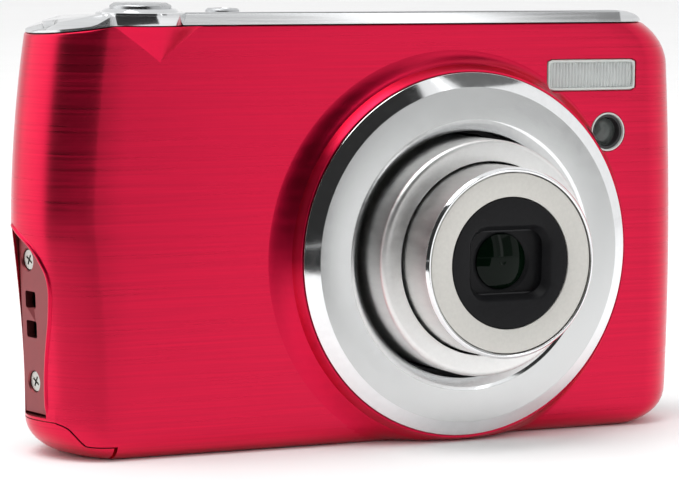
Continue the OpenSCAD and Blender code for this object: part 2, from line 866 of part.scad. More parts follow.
module menu_key() color(silver) key(pad_x - key_dx, low_row, key_r);

module delete_key() color(silver) key(pad_x + key_dx, low_row, key_r);

module mode_key() color(silver) key(pad_x - key_dx, high_row, key_r);

module play_key() color(silver) key(pad_x + key_dx, high_row, key_r);

module record_key() color([0.7, 0.1, 0.1]) key(pad_x, record_z, key_r - 0.4);

module keypad_board() color(green)
  block(keyboard_x0, keyboard_x1, keyboard_y, keyboard_y + keyboard_t, keyboard_z0,
    frame_top);

// Opening behind the image sensor
module sensor_gap() {
  on_lens() translate([-sensor_gap_w / 2, -sensor_gap_h / 2, -10])
    cube([sensor_gap_w, sensor_gap_h, 10]);
}

module main_board() color(green) {
  difference() {
    block(board_x0, board_x1, board_y, board_y + board_t, board_z0, board_z1);
    sensor_gap();
  }
}

module chassis() color(steel) {
  difference() {
    block(-frame_x, frame_x, frame_y, frame_y + frame_t, nut_h + 0.3, frame_top);
    sensor_gap();
    for (x = frame_hole_x)
      translate([x, 0, frame_hole_z]) rotate([-90, 0, 0]) cylinder(r = frame_hole_r, h = 9);
  }
}

module tripod_nut() color(steel) {
  difference() {
    union() {
      cylinder(r = tripod_flange, h = flange_t);
      translate([0, 0, 1]) cylinder(r = nut_neck_r, h = nut_h - 1);
    }
    translate([0, 0, -1]) cylinder(r = tripod_r, h = tripod_depth + 1);
  }
}

module speaker() color(black) {
  translate([speaker_x, speaker_y, body_h - 2 - speaker_t]) cylinder(r = speaker_r, h = speaker_t);
}

module usb_port() color(steel) {
  difference() {
    block(half_w - 2.2 - port_d, half_w - 2.2, usb_y0 + 0.6, usb_y1 - 0.1, usb_z - 4, usb_z + 4);
    block(half_w - 2.2 - port_d + port_wall, half_w, usb_y0 + 1.1, usb_y1 - 0.6, usb_z - 3.5,
      usb_z + 3.5);
  }
}

module usb_cover() color(dark) {
  intersection() {
    body_solid(0);
    block(half_w - 1.2, half_w + 2, usb_y0, usb_y1, usb_z - usb_h / 2, usb_z + usb_h / 2);
  }
}

module status_led() color([0.3, 0.9, 0.4]) on_back(led_x, rocker_z)
  translate([0, 0, inner_back - 1]) cylinder(r = led_r, h = wall + 1);

front_shell();
rear_cover();
top_plate();
strap_panel();
panel_screws();
base_screws();
battery_door();
door_hinge_bracket();
door_hinge_pin();
battery_box();
battery();
battery_contacts();
battery_latch();
sd_slot();
sd_card();
lens_ring();
barrel_seal();
lens_block();
zoom_motor();
focus_lens_group();
image_sensor();
outer_barrel();
inner_barrel();
front_bezel();
face_disc();
front_lens();
lens_holder();
barrier_blade_upper();
barrier_blade_lower();
flash_window();
flash_reflector();
flash_tube();
flash_capacitor();
af_lamp_lens();
af_lamp_holder();
shutter_button();
shutter_spring();
power_button();
lcd_window();
lcd_panel();
zoom_rocker();
dpad_gimbal();
dpad_ring();
ok_key();
menu_key();
play_key();
delete_key();
mode_key();
record_key();
keypad_board();
main_board();
chassis();
tripod_nut();
speaker();
usb_port();
usb_cover();
status_led();
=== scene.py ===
import math

import bmesh
import bpy
from mathutils import Matrix, Vector


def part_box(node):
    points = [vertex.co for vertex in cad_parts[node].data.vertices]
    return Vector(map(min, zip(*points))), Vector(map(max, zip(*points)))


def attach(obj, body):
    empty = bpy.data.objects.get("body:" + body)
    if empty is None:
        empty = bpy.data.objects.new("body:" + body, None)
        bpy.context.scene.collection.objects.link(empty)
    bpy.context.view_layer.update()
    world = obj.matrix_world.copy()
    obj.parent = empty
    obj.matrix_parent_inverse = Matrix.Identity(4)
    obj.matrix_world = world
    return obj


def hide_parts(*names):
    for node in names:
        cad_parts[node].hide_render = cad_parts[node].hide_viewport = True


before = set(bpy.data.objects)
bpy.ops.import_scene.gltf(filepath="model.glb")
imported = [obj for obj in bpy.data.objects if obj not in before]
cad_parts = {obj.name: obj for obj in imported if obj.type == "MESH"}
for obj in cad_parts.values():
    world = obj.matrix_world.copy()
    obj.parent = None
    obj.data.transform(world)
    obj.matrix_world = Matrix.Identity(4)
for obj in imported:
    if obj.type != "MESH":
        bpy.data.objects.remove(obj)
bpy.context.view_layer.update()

MM = 0.001
link = bpy.context.scene.collection.objects.link


# ------------ sizes, in millimetres

def box_mm(node):
    """Lowest and highest corner of a CAD node, in millimetres."""
    lo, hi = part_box(node)
    return lo / MM, hi / MM


def middle(node):
    lo, hi = box_mm(node)
    return (lo + hi) / 2


BODY_LO, BODY_HI = box_mm("rear_cover")
HALF_W = BODY_HI.x
BACK_Y = BODY_HI.y
FRONT_Y = -BACK_Y
TOP_Z = box_mm("top_plate")[1].z
SEAM_Y = BODY_LO.y
CAP_Z = BODY_HI.z
WALL = 1.2

LENS = middle("lens_ring")
LENS_AT = Vector((LENS.x, 0, LENS.z))
RING_R = box_mm("lens_ring")[1].x - LENS.x
FLASH = middle("flash_window")
FLASH_SIZE = box_mm("flash_window")[1] - box_mm("flash_window")[0]
LAMP = middle("af_lamp_holder")
LAMP_R = box_mm("af_lamp_holder")[1].x - LAMP.x
SHUTTER = middle("shutter_button")
SHUTTER_R = box_mm("shutter_button")[1].x - SHUTTER.x
POWER = middle("power_button")
POWER_R = box_mm("power_button")[1].x - POWER.x

# sides: the left side leans in below the belly, the right one a little at both ends
BELLY_L_Z = 30
BELLY_R_Z = 20
LEAN_L = 2
LEAN_R = 0.9
LEAN_TOP_L = 1.6
LEAN_SPAN = 28
TOP_L_Z = 53
LOW_A = 7.5
LOW_B = 5
CORNER_A = 11.5
CORNER_B = 8
FRONT_L_A = 7.5
FRONT_R_A = 7
FRONT_R_B = 8
REAR_L_A = 8.5
REAR_L_FULL = 0.35
REAR_IN = 0.75
REAR_IN_Y = -2.5
REAR_R_A = 5.5
FOOT_R = 3
REAR_TOP_R = 3.5
REAR_FOOT_R = 4
LOW_SHARPEN = 0.6
EDGE_R = 0.25
CAP_GAP = 0.14
TOP_SLOPE = 0.045
CAP_LINE = ((-70, 51.2), (-46, 54.15), (-38, CAP_Z), (70, CAP_Z))
TOP_LEFT = ((-46.4, 53.0), (-46.0, 54.7), (-45.2, 55.95), (-38.5, 57.0), (-34.5, TOP_Z))


def along(points, x):
    """Height of a polyline at x."""
    for a, b in zip(points, points[1:]):
        if x <= b[0]:
            t = (x - a[0]) / (b[0] - a[0])
            return a[1] + max(t, 0) * (b[1] - a[1])
    return points[-1][1]


def cap_line(x):
    return along(CAP_LINE, x)


def left_x(z, d=0):
    low_x = -HALF_W + LEAN_L
    if z < LOW_B:
        s = min((LOW_B - z) / (LOW_B - d), 1)
        return low_x + LOW_A - (LOW_A - d) * math.sqrt(1 - s * s)
    if z < BELLY_L_Z:
        return -HALF_W + d + LEAN_L * math.sin(math.pi / 2 * (BELLY_L_Z - z) / (BELLY_L_Z - LOW_B))
    return -HALF_W + d + LEAN_TOP_L * ((z - BELLY_L_Z) / (TOP_L_Z - BELLY_L_Z)) ** 2


def right_lean(z):
    return HALF_W - LEAN_R * ((z - BELLY_R_Z) / LEAN_SPAN) ** 2


def right_x(z, d=0):
    if z < LOW_B:
        s = min((LOW_B - z) / (LOW_B - d), 1)
        return right_lean(LOW_B) - LOW_A + (LOW_A - d) * math.sqrt(1 - s * s)
    corner_z = TOP_Z - CORNER_B
    if z > corner_z:
        s = min((z - corner_z) / (CORNER_B - d), 1)
        return right_lean(corner_z) - CORNER_A + (CORNER_A - d) * math.sqrt(1 - s * s)
    return right_lean(z) - d


def front_y(z, d=0):
    if z < FOOT_R:
        s = FOOT_R - z
        return FRONT_Y + FOOT_R - math.sqrt(max((FOOT_R - d) ** 2 - s * s, 0))
    return FRONT_Y + d


def back_y(z, d=0):
    top = TOP_Z - 0.7 - REAR_TOP_R
    if z > top:
        s = z - top
        return BACK_Y - REAR_TOP_R + math.sqrt(max((REAR_TOP_R - d) ** 2 - s * s, 0))
    if z < REAR_FOOT_R:
        s = REAR_FOOT_R - z
        return BACK_Y - REAR_FOOT_R + math.sqrt(max((REAR_FOOT_R - d) ** 2 - s * s, 0))
    return BACK_Y - d


ARC_STEPS = 14
FLAT_STEPS = 22


def half_outline(z, d, side):
    """Points of the front (side -1) or back (side 1) half of the outline at height z, left to right."""
    xl, xr = left_x(z, d), right_x(z, d)
    sharpen_l = LOW_SHARPEN * max(left_x(z) - (-HALF_W + LEAN_L), 0) if z < LOW_B else 0
    sharpen_r = LOW_SHARPEN * max(right_lean(LOW_B) - right_x(z), 0) if z < LOW_B else 0
    if side < 0:
        a_l, a_r = FRONT_L_A - sharpen_l - d, FRONT_R_A - sharpen_r - d
        y_face = front_y(z, d)
        c_l, c_r = 0, min(y_face + FRONT_R_B - d, 0)
    else:
        a_l, a_r = REAR_L_A - sharpen_l - d, REAR_R_A - sharpen_r - d
        y_face = back_y(z, d)
        c_l = c_r = SEAM_Y
    b_l, b_r = abs(y_face - c_l), abs(y_face - c_r)
    seam_x = xl + REAR_IN
    pts = [(seam_x, SEAM_Y)]
    for i in range(ARC_STEPS + 1):
        t = math.pi / 2 * i / ARC_STEPS
        across, deep = 1 - math.cos(t), math.sin(t)
        if side > 0:
            chord = i / ARC_STEPS
            across, deep = chord + (across - chord) * REAR_L_FULL, chord + (deep - chord) * REAR_L_FULL
            pts.append((seam_x + (a_l - REAR_IN) * across, c_l + b_l * deep))
        else:
            y = c_l - b_l * deep
            lean_in = REAR_IN * (max(y - REAR_IN_Y, 0) / (SEAM_Y - REAR_IN_Y)) ** 2
            pts.append((xl + a_l * across + lean_in, y))
    x0, x1 = xl + a_l, xr - a_r
    for i in range(1, FLAT_STEPS):
        pts.append((x0 + (x1 - x0) * i / FLAT_STEPS, y_face))
    for i in range(ARC_STEPS + 1):
        t = math.pi / 2 * (1 - i / ARC_STEPS)
        pts.append((xr - a_r + a_r * math.cos(t), c_r + side * b_r * math.sin(t)))
    pts.append((xr, SEAM_Y))
    return pts


# ------------ mesh helpers

SHARP = math.radians(32)
FULL_TURN = 2 * math.pi


def mesh_object(name, verts, faces, at=(0, 0, 0), sharp=SHARP):
    """A new mesh object from points in millimetres, with outward normals."""
    mesh = bpy.data.meshes.new(name)
    mesh.from_pydata([Vector(v) * MM for v in verts], [], faces)
    bm = bmesh.new()
    bm.from_mesh(mesh)
    bmesh.ops.remove_doubles(bm, verts=bm.verts, dist=1e-7)
    bmesh.ops.recalc_face_normals(bm, faces=bm.faces)
    bm.to_mesh(mesh)
    bm.free()
    obj = bpy.data.objects.new(name, mesh)
    obj.location = Vector(at) * MM
    link(obj)
    shade(obj, sharp)
    return obj


def shade(obj, sharp=SHARP):
    obj.data.shade_smooth()
    obj.data.set_sharp_from_angle(angle=sharp)


def grid_faces(rows, closed_rows=False, closed_cols=False):
    """Quads over a grid of index rows."""
    faces = []
    row_count = len(rows) if closed_rows else len(rows) - 1
    for i in range(row_count):
        a, b = rows[i], rows[(i + 1) % len(rows)]
        n = len(a) if closed_cols else len(a) - 1
        for j in range(n):
            k = (j + 1) % len(a)
            faces.append((a[j], a[k], b[k], b[j]))
    return faces


def add_rows(verts, rows_of_points):
    rows = []
    for pts in rows_of_points:
        rows.append(list(range(len(verts), len(verts) + len(pts))))
        verts.extend(pts)
    return rows


def rounded(points, radius, steps=4):
    """A closed 2D outline with its corners rounded; a point may carry its own radius."""
    out = []
    n = len(points)
    for i, p in enumerate(points):
        r = p[2] if len(p) > 2 else radius
        a, b, c = Vector(points[i - 1][:2]), Vector(p[:2]), Vector(points[(i + 1) % n][:2])
        if r <= 0:
            out.append(tuple(b))
            continue
        u, v = (a - b).normalized(), (c - b).normalized()
        half = u.angle(v) / 2
        if half > math.radians(88):
            out.append(tuple(b))
            continue
        t = min(r / math.tan(half), 0.45 * min((a - b).length, (c - b).length))
        r = t * math.tan(half)
        centre = b + (u + v).normalized() * (r / math.sin(half))
        s, e = b + u * t - centre, b + v * t - centre
        a0 = math.atan2(s.y, s.x)
        turn = (math.atan2(e.y, e.x) - a0 + math.pi) % (2 * math.pi) - math.pi
        for k in range(steps + 1):
            w = a0 + turn * k / steps
            out.append((centre.x + r * math.cos(w), centre.y + r * math.sin(w)))
    return out


def lathe(name, profile, at=LENS_AT, axis="y", segments=160, z0=0):
    """A closed (radius, height) profile turned about the lens axis (height forward) or about Z."""
    rows = []
    for i in range(segments):
        t = 2 * math.pi * i / segments
        c, s = math.cos(t), math.sin(t)
        if axis == "y":
            rows.append([(r * c, -h, r * s) for r, h in profile])
        else:
            rows.append([(r * c, r * s, h - z0) for r, h in profile])
    verts = []
    index = add_rows(verts, rows)
    faces = grid_faces(index, closed_rows=True, closed_cols=True)
    where = at if axis == "y" else (at[0], at[1], z0)
    return mesh_object(name, verts, faces, where)


def stack(name, loops, at=(0, 0, 0), sharp=SHARP):
    """Closed loops of the same length joined in order, with both ends filled."""
    verts = []
    rows = add_rows(verts, loops)
    faces = grid_faces(rows, closed_cols=True)
    faces.append(tuple(rows[0]))
    faces.append(tuple(reversed(rows[-1])))
    return mesh_object(name, verts, faces, at, sharp=sharp)


def tunnel(name, loops, at=(0, 0, 0)):
    """Closed loops joined in order and back to the first, as a ring without ends."""
    verts = []
    rows = add_rows(verts, loops)
    return mesh_object(name, verts, grid_faces(rows, closed_rows=True, closed_cols=True), at)


def round_points(r, n, u=0.0, v=0.0):
    """Points of a circle round (u, v)."""
    return [(u + r * math.cos(FULL_TURN * i / n), v + r * math.sin(FULL_TURN * i / n)) for i in range(n)]


def circle(r, h, n=96, cx=0.0, cz=0.0):
    """A loop in the X-Z plane at y = -h."""
    return [(x, -h, z) for x, z in round_points(r, n, cx, cz)]


def rect_loop(w, d, r, h, cx=0.0, cz=0.0, n=96):
    """A rounded rectangle in the X-Z plane at y = -h, its points spread by angle from the centre."""
    pts = []
    for i in range(n):
        t = 2 * math.pi * i / n
        c, s = math.cos(t), math.sin(t)
        hw, hd = w / 2, d / 2
        k = min(hw / abs(c) if abs(c) > 1e-9 else 1e9, hd / abs(s) if abs(s) > 1e-9 else 1e9)
        x, z = c * k, s * k
        ox, oz = abs(x) - (hw - r), abs(z) - (hd - r)
        if ox > 0 and oz > 0:
            u, v = hw - r, hd - r
            b = abs(c) * u + abs(s) * v
            q = u * u + v * v - r * r
            m = b + math.sqrt(max(b * b - q, 0))
            x, z = c * m, s * m
        pts.append((cx + x, -h, cz + z))
    return pts


def cut(obj, *cutters, mode="DIFFERENCE", sharp=SHARP):
    """Boolean with each cutter in turn; the cutters are removed."""
    for c in cutters:
        mod = obj.modifiers.new("cut", "BOOLEAN")
        mod.operation = mode
        mod.solver = "MANIFOLD"
        mod.object = c
    dg = bpy.context.evaluated_depsgraph_get()
    dg.update()
    mesh = bpy.data.meshes.new_from_object(obj.evaluated_get(dg))
    obj.modifiers.clear()
    old = obj.data
    obj.data = mesh
    mesh.name = obj.name
    bpy.data.meshes.remove(old)
    for c in cutters:
        bpy.data.objects.remove(c)
    shade(obj, sharp)
    return obj


def copy_of(obj, name):
    new = bpy.data.objects.new(name, obj.data.copy())
    new.location = obj.location
    link(new)
    return new


def prism(name, outline, lo, hi):
    """An upright closed prism of a plan outline, from height lo to height hi."""
    return stack(name, [[(x, y, z) for x, y in outline] for z in (lo, hi)])


def brick(name, lo, hi):
    plan = [(lo[0], lo[1]), (hi[0], lo[1]), (hi[0], hi[1]), (lo[0], hi[1])]
    return prism(name, plan, lo[2], hi[2])


def spline(points, steps=6):
    """A smooth open curve through 2D points."""
    out = []
    n = len(points)
    for i in range(n - 1):
        p0, p1 = Vector(points[max(i - 1, 0)]), Vector(points[i])
        p2, p3 = Vector(points[i + 1]), Vector(points[min(i + 2, n - 1)])
        for k in range(steps):
            t = k / steps
            out.append(tuple(0.5 * ((2 * p1) + (p2 - p0) * t + (2 * p0 - 5 * p1 + 4 * p2 - p3) * t * t
                                    + (3 * p1 - p0 - 3 * p2 + p3) * t ** 3)))
    out.append(tuple(points[-1]))
    return out


def tube(name, path, r, n=10):
    """A closed-ended round bead along a path of 3D points."""
    loops = []
    for i, p in enumerate(path):
        p = Vector(p)
        tangent = (Vector(path[min(i + 1, len(path) - 1)]) - Vector(path[max(i - 1, 0)])).normalized()
        side = tangent.cross(Vector((1, 0, 0))).normalized()
        up = side.cross(tangent).normalized()
        taper = min(1.0, 0.35 + min(i, len(path) - 1 - i) * 0.3)
        loops.append([tuple(p + (side * math.cos(a) + up * math.sin(a)) * r * taper)
                      for a in [2 * math.pi * k / n for k in range(n)]])
    return stack(name, loops, sharp=math.radians(60))


# ------------ materials

def node(nt, kind, **values):
    n = nt.nodes.new(kind)
    for key, value in values.items():
        setattr(n, key, value)
    return n


def noise(nt, scale, detail=3.0, rough=0.55, seed=0.0):
    """Noise over object space; scale is in cells per metre, one number or one for each axis."""
    coord = node(nt, "ShaderNodeTexCoord")
    mapping = node(nt, "ShaderNodeMapping")
    mapping.inputs["Scale"].default_value = scale if isinstance(scale, tuple) else (scale,) * 3
    mapping.inputs["Location"].default_value = (seed, seed * 0.7, seed * 1.3)
    tex = node(nt, "ShaderNodeTexNoise")
    tex.inputs["Scale"].default_value = 1.0
    tex.inputs["Detail"].default_value = detail
    tex.inputs["Roughness"].default_value = rough
    nt.links.new(coord.outputs["Object"], mapping.inputs["Vector"])
    nt.links.new(mapping.outputs["Vector"], tex.inputs["Vector"])
    return tex.outputs["Fac"]


def remap(nt, source, lo, hi, from_lo=0.3, from_hi=0.7):
    n = node(nt, "ShaderNodeMapRange")
    n.inputs["From Min"].default_value = from_lo
    n.inputs["From Max"].default_value = from_hi
    n.inputs["To Min"].default_value = lo
    n.inputs["To Max"].default_value = hi
    nt.links.new(source, n.inputs["Value"])
    return n.outputs["Result"]


# colour sockets of the mix node
MIX_A, MIX_B, MIX_OUT = 6, 7, 2


def mixed(nt, factor, a, b):
    n = node(nt, "ShaderNodeMix", data_type="RGBA")
    n.inputs[MIX_A].default_value = (*a, 1)
    n.inputs[MIX_B].default_value = (*b, 1)
    nt.links.new(factor, n.inputs[0])
    return n.outputs[MIX_OUT]


def bump(nt, height, strength, distance, below=None):
    n = node(nt, "ShaderNodeBump")
    n.inputs["Strength"].default_value = strength
    n.inputs["Distance"].default_value = distance
    nt.links.new(height, n.inputs["Height"])
    if below is not None:
        nt.links.new(below, n.inputs["Normal"])
    return n.outputs["Normal"]


def finish_of(name, colour, metallic=0.0, rough=(0.3, 0.45), grain=900, spread=0.08,
              bump_depth=0.00001, bump_strength=0.25, coat=0.0, coat_rough=0.1, aniso=0.0,
              turn=0.0, tangent=None, specular=0.5, detail=3.0, seed=0.0, blotch=0.0, ior=None):
    """A procedural finish: grain varies the colour, the roughness and the bump; blotch adds broad tone."""
    m = bpy.data.materials.new(name)
    m.use_nodes = True
    nt = m.node_tree
    b = nt.nodes["Principled BSDF"]
    fine = noise(nt, grain, detail, seed=seed)
    dark = tuple(c * (1 - spread) for c in colour)
    light = tuple(min(c * (1 + spread), 1) for c in colour)
    shade_out = mixed(nt, remap(nt, fine, 0, 1), dark, light)
    if blotch:
        broad = noise(nt, 60, 2.0, seed=seed + 3)
        n = node(nt, "ShaderNodeMix", data_type="RGBA", blend_type="MULTIPLY")
        n.inputs[0].default_value = 1.0
        nt.links.new(shade_out, n.inputs[MIX_A])
        tone = remap(nt, broad, 1 - blotch, 1.0)
        nt.links.new(tone, n.inputs[MIX_B])
        shade_out = n.outputs[MIX_OUT]
    nt.links.new(shade_out, b.inputs["Base Color"])
    nt.links.new(remap(nt, fine, rough[0], rough[1]), b.inputs["Roughness"])
    nt.links.new(bump(nt, fine, bump_strength, bump_depth), b.inputs["Normal"])
    b.inputs["Metallic"].default_value = metallic
    b.inputs["Coat Weight"].default_value = coat
    b.inputs["Coat Roughness"].default_value = coat_rough
    b.inputs["Anisotropic"].default_value = aniso
    b.inputs["Anisotropic Rotation"].default_value = turn
    b.inputs["Specular IOR Level"].default_value = specular
    if ior:
        b.inputs["IOR"].default_value = ior
    if tangent:
        t = node(nt, "ShaderNodeTangent", direction_type="RADIAL", axis=tangent)
        nt.links.new(t.outputs["Tangent"], b.inputs["Tangent"])
    m.diffuse_color = (*colour, 1)
    return m


BRUSH = (50, 50, 3000)
RED = (0.66, 0.005, 0.048)

mat_red = finish_of("red_case", RED, 1.0, (0.26, 0.38), BRUSH, 0.1, 0.000006, 0.15, coat=0.3,
                    coat_rough=0.35, aniso=0.6, turn=0.25, tangent="Z", detail=5.0)
mat_red_smooth = finish_of("red_collar", RED, 1.0, (0.3, 0.38), (200, 200, 900), 0.05, 0.000005, 0.1,
                           coat=0.2, coat_rough=0.25)
mat_cap = finish_of("silver_cap", (0.68, 0.69, 0.70), 1.0, (0.09, 0.15), (60, 60, 3000), 0.06,
                    0.000006, 0.2, aniso=0.4, turn=0.25, tangent="Z")
# painted shade: the strap panel is the case's red anodised metal, given a darker, greyer colour that stands in for its
# grazing reflection
mat_red_painted_shade = finish_of("grip_panel", (0.25, 0.052, 0.057), 0.9, (0.32, 0.42), 700, 0.08,
                     0.00001, 0.2, coat=0.1, coat_rough=0.3)
mat_ring = finish_of("satin_ring", (0.64, 0.65, 0.65), 1.0, (0.22, 0.27), (700, 300, 700), 0.02,
                     0.0000008, 0.05, aniso=0.75, tangent="Y")
mat_bevel = finish_of("ring_bevel", (0.85, 0.86, 0.87), 1.0, (0.07, 0.12), 900, 0.03,
                      0.000003, 0.1)
mat_barrel = finish_of("barrel_metal", (0.84, 0.84, 0.83), 1.0, (0.34, 0.44), (1200, 300, 1200), 0.04,
                       0.000006, 0.2, aniso=0.3, tangent="Y")
mat_face = finish_of("face_metal", (0.62, 0.61, 0.575), 0.6, (0.42, 0.5), 2200, 0.04,
                     0.00001, 0.25)
mat_black = finish_of("black_plastic", (0.007, 0.007, 0.008), 0.0, (0.4, 0.52), 2500, 0.2,
                      0.00002, 0.3, specular=0.15)
mat_blade = finish_of("blade_black", (0.02, 0.02, 0.022), 0.6, (0.3, 0.4), (400, 400, 4000), 0.15,
                      0.00001, 0.2)
mat_back = finish_of("back_cover", (0.035, 0.033, 0.035), 0.0, (0.42, 0.58), 3500, 0.2,
                     0.00003, 0.35, specular=0.45)
mat_steel = finish_of("stamped_steel", (0.55, 0.56, 0.58), 1.0, (0.25, 0.4), (300, 2500, 300), 0.08,
                      0.00001, 0.2)
mat_screw = finish_of("screw_steel", (0.52, 0.51, 0.48), 1.0, (0.25, 0.38), 4000, 0.08,
                      0.00001, 0.3)
mat_inner = finish_of("inner_plastic", (0.03, 0.03, 0.032), 0.0, (0.45, 0.6), 2000, 0.2,
                      0.00002, 0.3)
mat_wrap = finish_of("cell_wrap", (0.10, 0.11, 0.14), 0.0, (0.3, 0.4), 500, 0.1, 0.00001,
                     0.2, coat=0.3)
mat_brass = finish_of("contact_brass", (0.75, 0.58, 0.28), 1.0, (0.2, 0.3), 3000, 0.08)
mat_latch = finish_of("latch_plastic", (0.85, 0.35, 0.04), 0.0, (0.4, 0.5), 2500, 0.06)
mat_card = finish_of("card_plastic", (0.03, 0.05, 0.16), 0.0, (0.4, 0.5), 2500, 0.1)
mat_rubber = finish_of("seal_rubber", (0.015, 0.015, 0.016), 0.0, (0.55, 0.7), 3000, 0.2,
                       0.00002, 0.3)
mat_button = finish_of("button_metal", (0.52, 0.53, 0.54), 1.0, (0.24, 0.34), 900, 0.05,
                       0.000005, 0.15, aniso=0.5, tangent="Z")
mat_spring = finish_of("spring_steel", (0.5, 0.5, 0.52), 1.0, (0.2, 0.3), 3000, 0.08)
mat_key = finish_of("key_metal", (0.45, 0.46, 0.48), 1.0, (0.25, 0.36), 2000, 0.06,
                    0.00001, 0.2)
mat_key_red = finish_of("key_red", (0.55, 0.02, 0.03), 0.5, (0.3, 0.4), 2000, 0.08,
                        0.00001, 0.2)
mat_board = finish_of("board_green", (0.01, 0.10, 0.05), 0.0, (0.35, 0.5), 1500, 0.3,
                      0.00003, 0.4, coat=0.3)
mat_nut = finish_of("nut_metal", (0.62, 0.60, 0.54), 1.0, (0.25, 0.36), 2000, 0.08)
mat_flap = finish_of("flap_rubber", (0.028, 0.024, 0.026), 0.0, (0.5, 0.65), 3500, 0.2,
                     0.00002, 0.3)
mat_led = finish_of("led_clear", (0.55, 0.85, 0.6), 0.0, (0.15, 0.25), 3000, 0.05,
                    coat=0.5)
mat_lcd_glass = finish_of("lcd_glass", (0.006, 0.007, 0.009), 0.0, (0.05, 0.09), 90, 0.2,
                          0.000001, 0.05, coat=0.6, coat_rough=0.03)
mat_lcd = finish_of("lcd_module", (0.05, 0.06, 0.08), 0.2, (0.3, 0.4), 2500, 0.1)
mat_sensor = finish_of("sensor", (0.05, 0.06, 0.16), 0.6, (0.1, 0.2), 9000, 0.3,
                       coat=0.5)
mat_reflector = finish_of("reflector", (0.88, 0.88, 0.87), 1.0, (0.12, 0.25), 1500, 0.05,
                          0.00001, 0.3)
mat_glass = finish_of("lens_glass", (0.001, 0.005, 0.002), 0.0, (0.04, 0.07), 80, 0.4,
                      0.000001, 0.02, specular=0.12)
mat_flash_frame = finish_of("flash_frame", (0.55, 0.58, 0.56), 0.3, (0.12, 0.2), 1500,
                            0.06, 0.00001, 0.2, coat=0.6)


def clear_finish(name, tint, rough, clarity=0.9):
    """Clear moulded plastic: mostly transmission, with a faint flow pattern in the bump."""
    m = finish_of(name, tint, 0.0, rough, 300, 0.04, 0.00001, 0.1, ior=1.49)
    m.node_tree.nodes["Principled BSDF"].inputs["Transmission Weight"].default_value = clarity
    return m


mat_clear = clear_finish("flash_clear", (0.93, 0.96, 0.95), (0.06, 0.14), 0.6)
mat_tube = clear_finish("tube_glass", (0.92, 0.94, 0.95), (0.03, 0.06))
mat_lamp = clear_finish("lamp_clear", (0.72, 0.82, 0.78), (0.03, 0.08))


def dress(obj, material):
    obj.data.materials.clear()
    obj.data.materials.append(material)


def piece(obj, material, body, slot, *replaced):
    dress(obj, material)
    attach(obj, body)
    if replaced:
        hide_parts(*replaced)
    return obj


# ------------ camera

CAM_AZ = math.radians(-26.642)
CAM_EL = math.radians(5.423)
CAM_ROLL = math.radians(0.599)
CAM_DIST = 432.03
CAM_TARGET = Vector((-8.1, FRONT_Y, 30))
cam_data = bpy.data.cameras.new("camera")
camera = bpy.data.objects.new("camera", cam_data)
link(camera)
bpy.context.scene.camera = camera
cam_data.sensor_width = 36
cam_data.lens = 176.05
cam_data.shift_x = 0.0199
cam_data.shift_y = -0.0331
cam_data.clip_start = 0.02
cam_data.clip_end = 50
back = Vector((math.sin(CAM_AZ) * math.cos(CAM_EL), -math.cos(CAM_AZ) * math.cos(CAM_EL), math.sin(CAM_EL)))
right = Vector((0, 0, 1)).cross(back).normalized()
up = back.cross(right)
right, up = (right * math.cos(CAM_ROLL) + up * math.sin(CAM_ROLL),
             up * math.cos(CAM_ROLL) - right * math.sin(CAM_ROLL))
at = (CAM_TARGET + back * CAM_DIST) * MM
camera.matrix_world = Matrix(((right.x, up.x, back.x, at.x), (right.y, up.y, back.y, at.y),
                              (right.z, up.z, back.z, at.z), (0, 0, 0, 1)))


# ------------ case halves

def level_heights():
    low = [LOW_B * (1 - math.cos(math.pi / 2 * i / 10)) for i in range(11)]
    mid = [LOW_B + (TOP_Z - CORNER_B - LOW_B) * i / 16 for i in range(1, 17)]
    top = [TOP_Z - CORNER_B + (CAP_Z - TOP_Z + CORNER_B) * i / 10 for i in range(1, 11)]
    return low + mid + top


BLEND_Z = 44


def case_half(name, side):
    """One half of the case as a closed wall: outer skin, rounded rim under the cap, inner skin."""
    levels = level_heights()

    def height(x, level, drop):
        if level <= BLEND_Z:
            return level
        return BLEND_Z + (level - BLEND_Z) * (cap_line(x) - drop - BLEND_Z) / (CAP_Z - BLEND_Z)

    def skin_row(level, d, drop):
        row = []
        for j, (x, y) in enumerate(half_outline(min(level, CAP_Z), d, side)):
            z = height(x, level, drop)
            x, y = half_outline(z, d, side)[j]
            row.append((x, y, height(x, level, drop)))
        return row

    outer = [skin_row(z, 0, EDGE_R) for z in levels]
    rim = []
    for i in (1, 2, 3):
        t = math.pi / 2 * i / 3
        rim.append(skin_row(levels[-1], EDGE_R * (1 - math.cos(t)), EDGE_R * (1 - math.sin(t))))
    inner = [skin_row(z, WALL, 0) for z in reversed(levels) if z > WALL]
    inner.append(skin_row(WALL + 0.02, WALL, 0))
    verts = []
    rows = add_rows(verts, outer + rim + inner)
    faces = grid_faces(rows)
    faces.append(tuple(rows[0]))
    faces.append(tuple(rows[-1]))
    first = [r[0] for r in rows]
    last = [r[-1] for r in rows]
    n_out = len(outer) + len(rim)
    for edge in (first, last):
        out_side, in_side = edge[:n_out], edge[n_out:]
        pairs = list(zip(out_side[len(out_side) - 1::-1], in_side))
        for (a, b), (c, e) in zip(pairs, pairs[1:]):
            faces.append((a, b, e, c))
        rest = out_side[:len(out_side) - len(in_side) + 1]
        for p, q in zip(rest, rest[1:]):
            faces.append((p, q, in_side[-1]))
    faces.append((rows[0][0], rows[0][-1], rows[-1][-1], rows[-1][0]))
    return mesh_object(name, verts, faces)


front_case = case_half("front_case", -1)
back_case = case_half("back_case", 1)


def round_hole(name, r, x, z, h_face, h_in, flare=0.15):
    """Cutter for a round hole in the face at h_face, with a small flared mouth."""
    return stack(name, [circle(r + flare + 1, h_face + 1, cx=x, cz=z), circle(r, h_face - flare, cx=x, cz=z),
                        circle(r, h_in, cx=x, cz=z)])


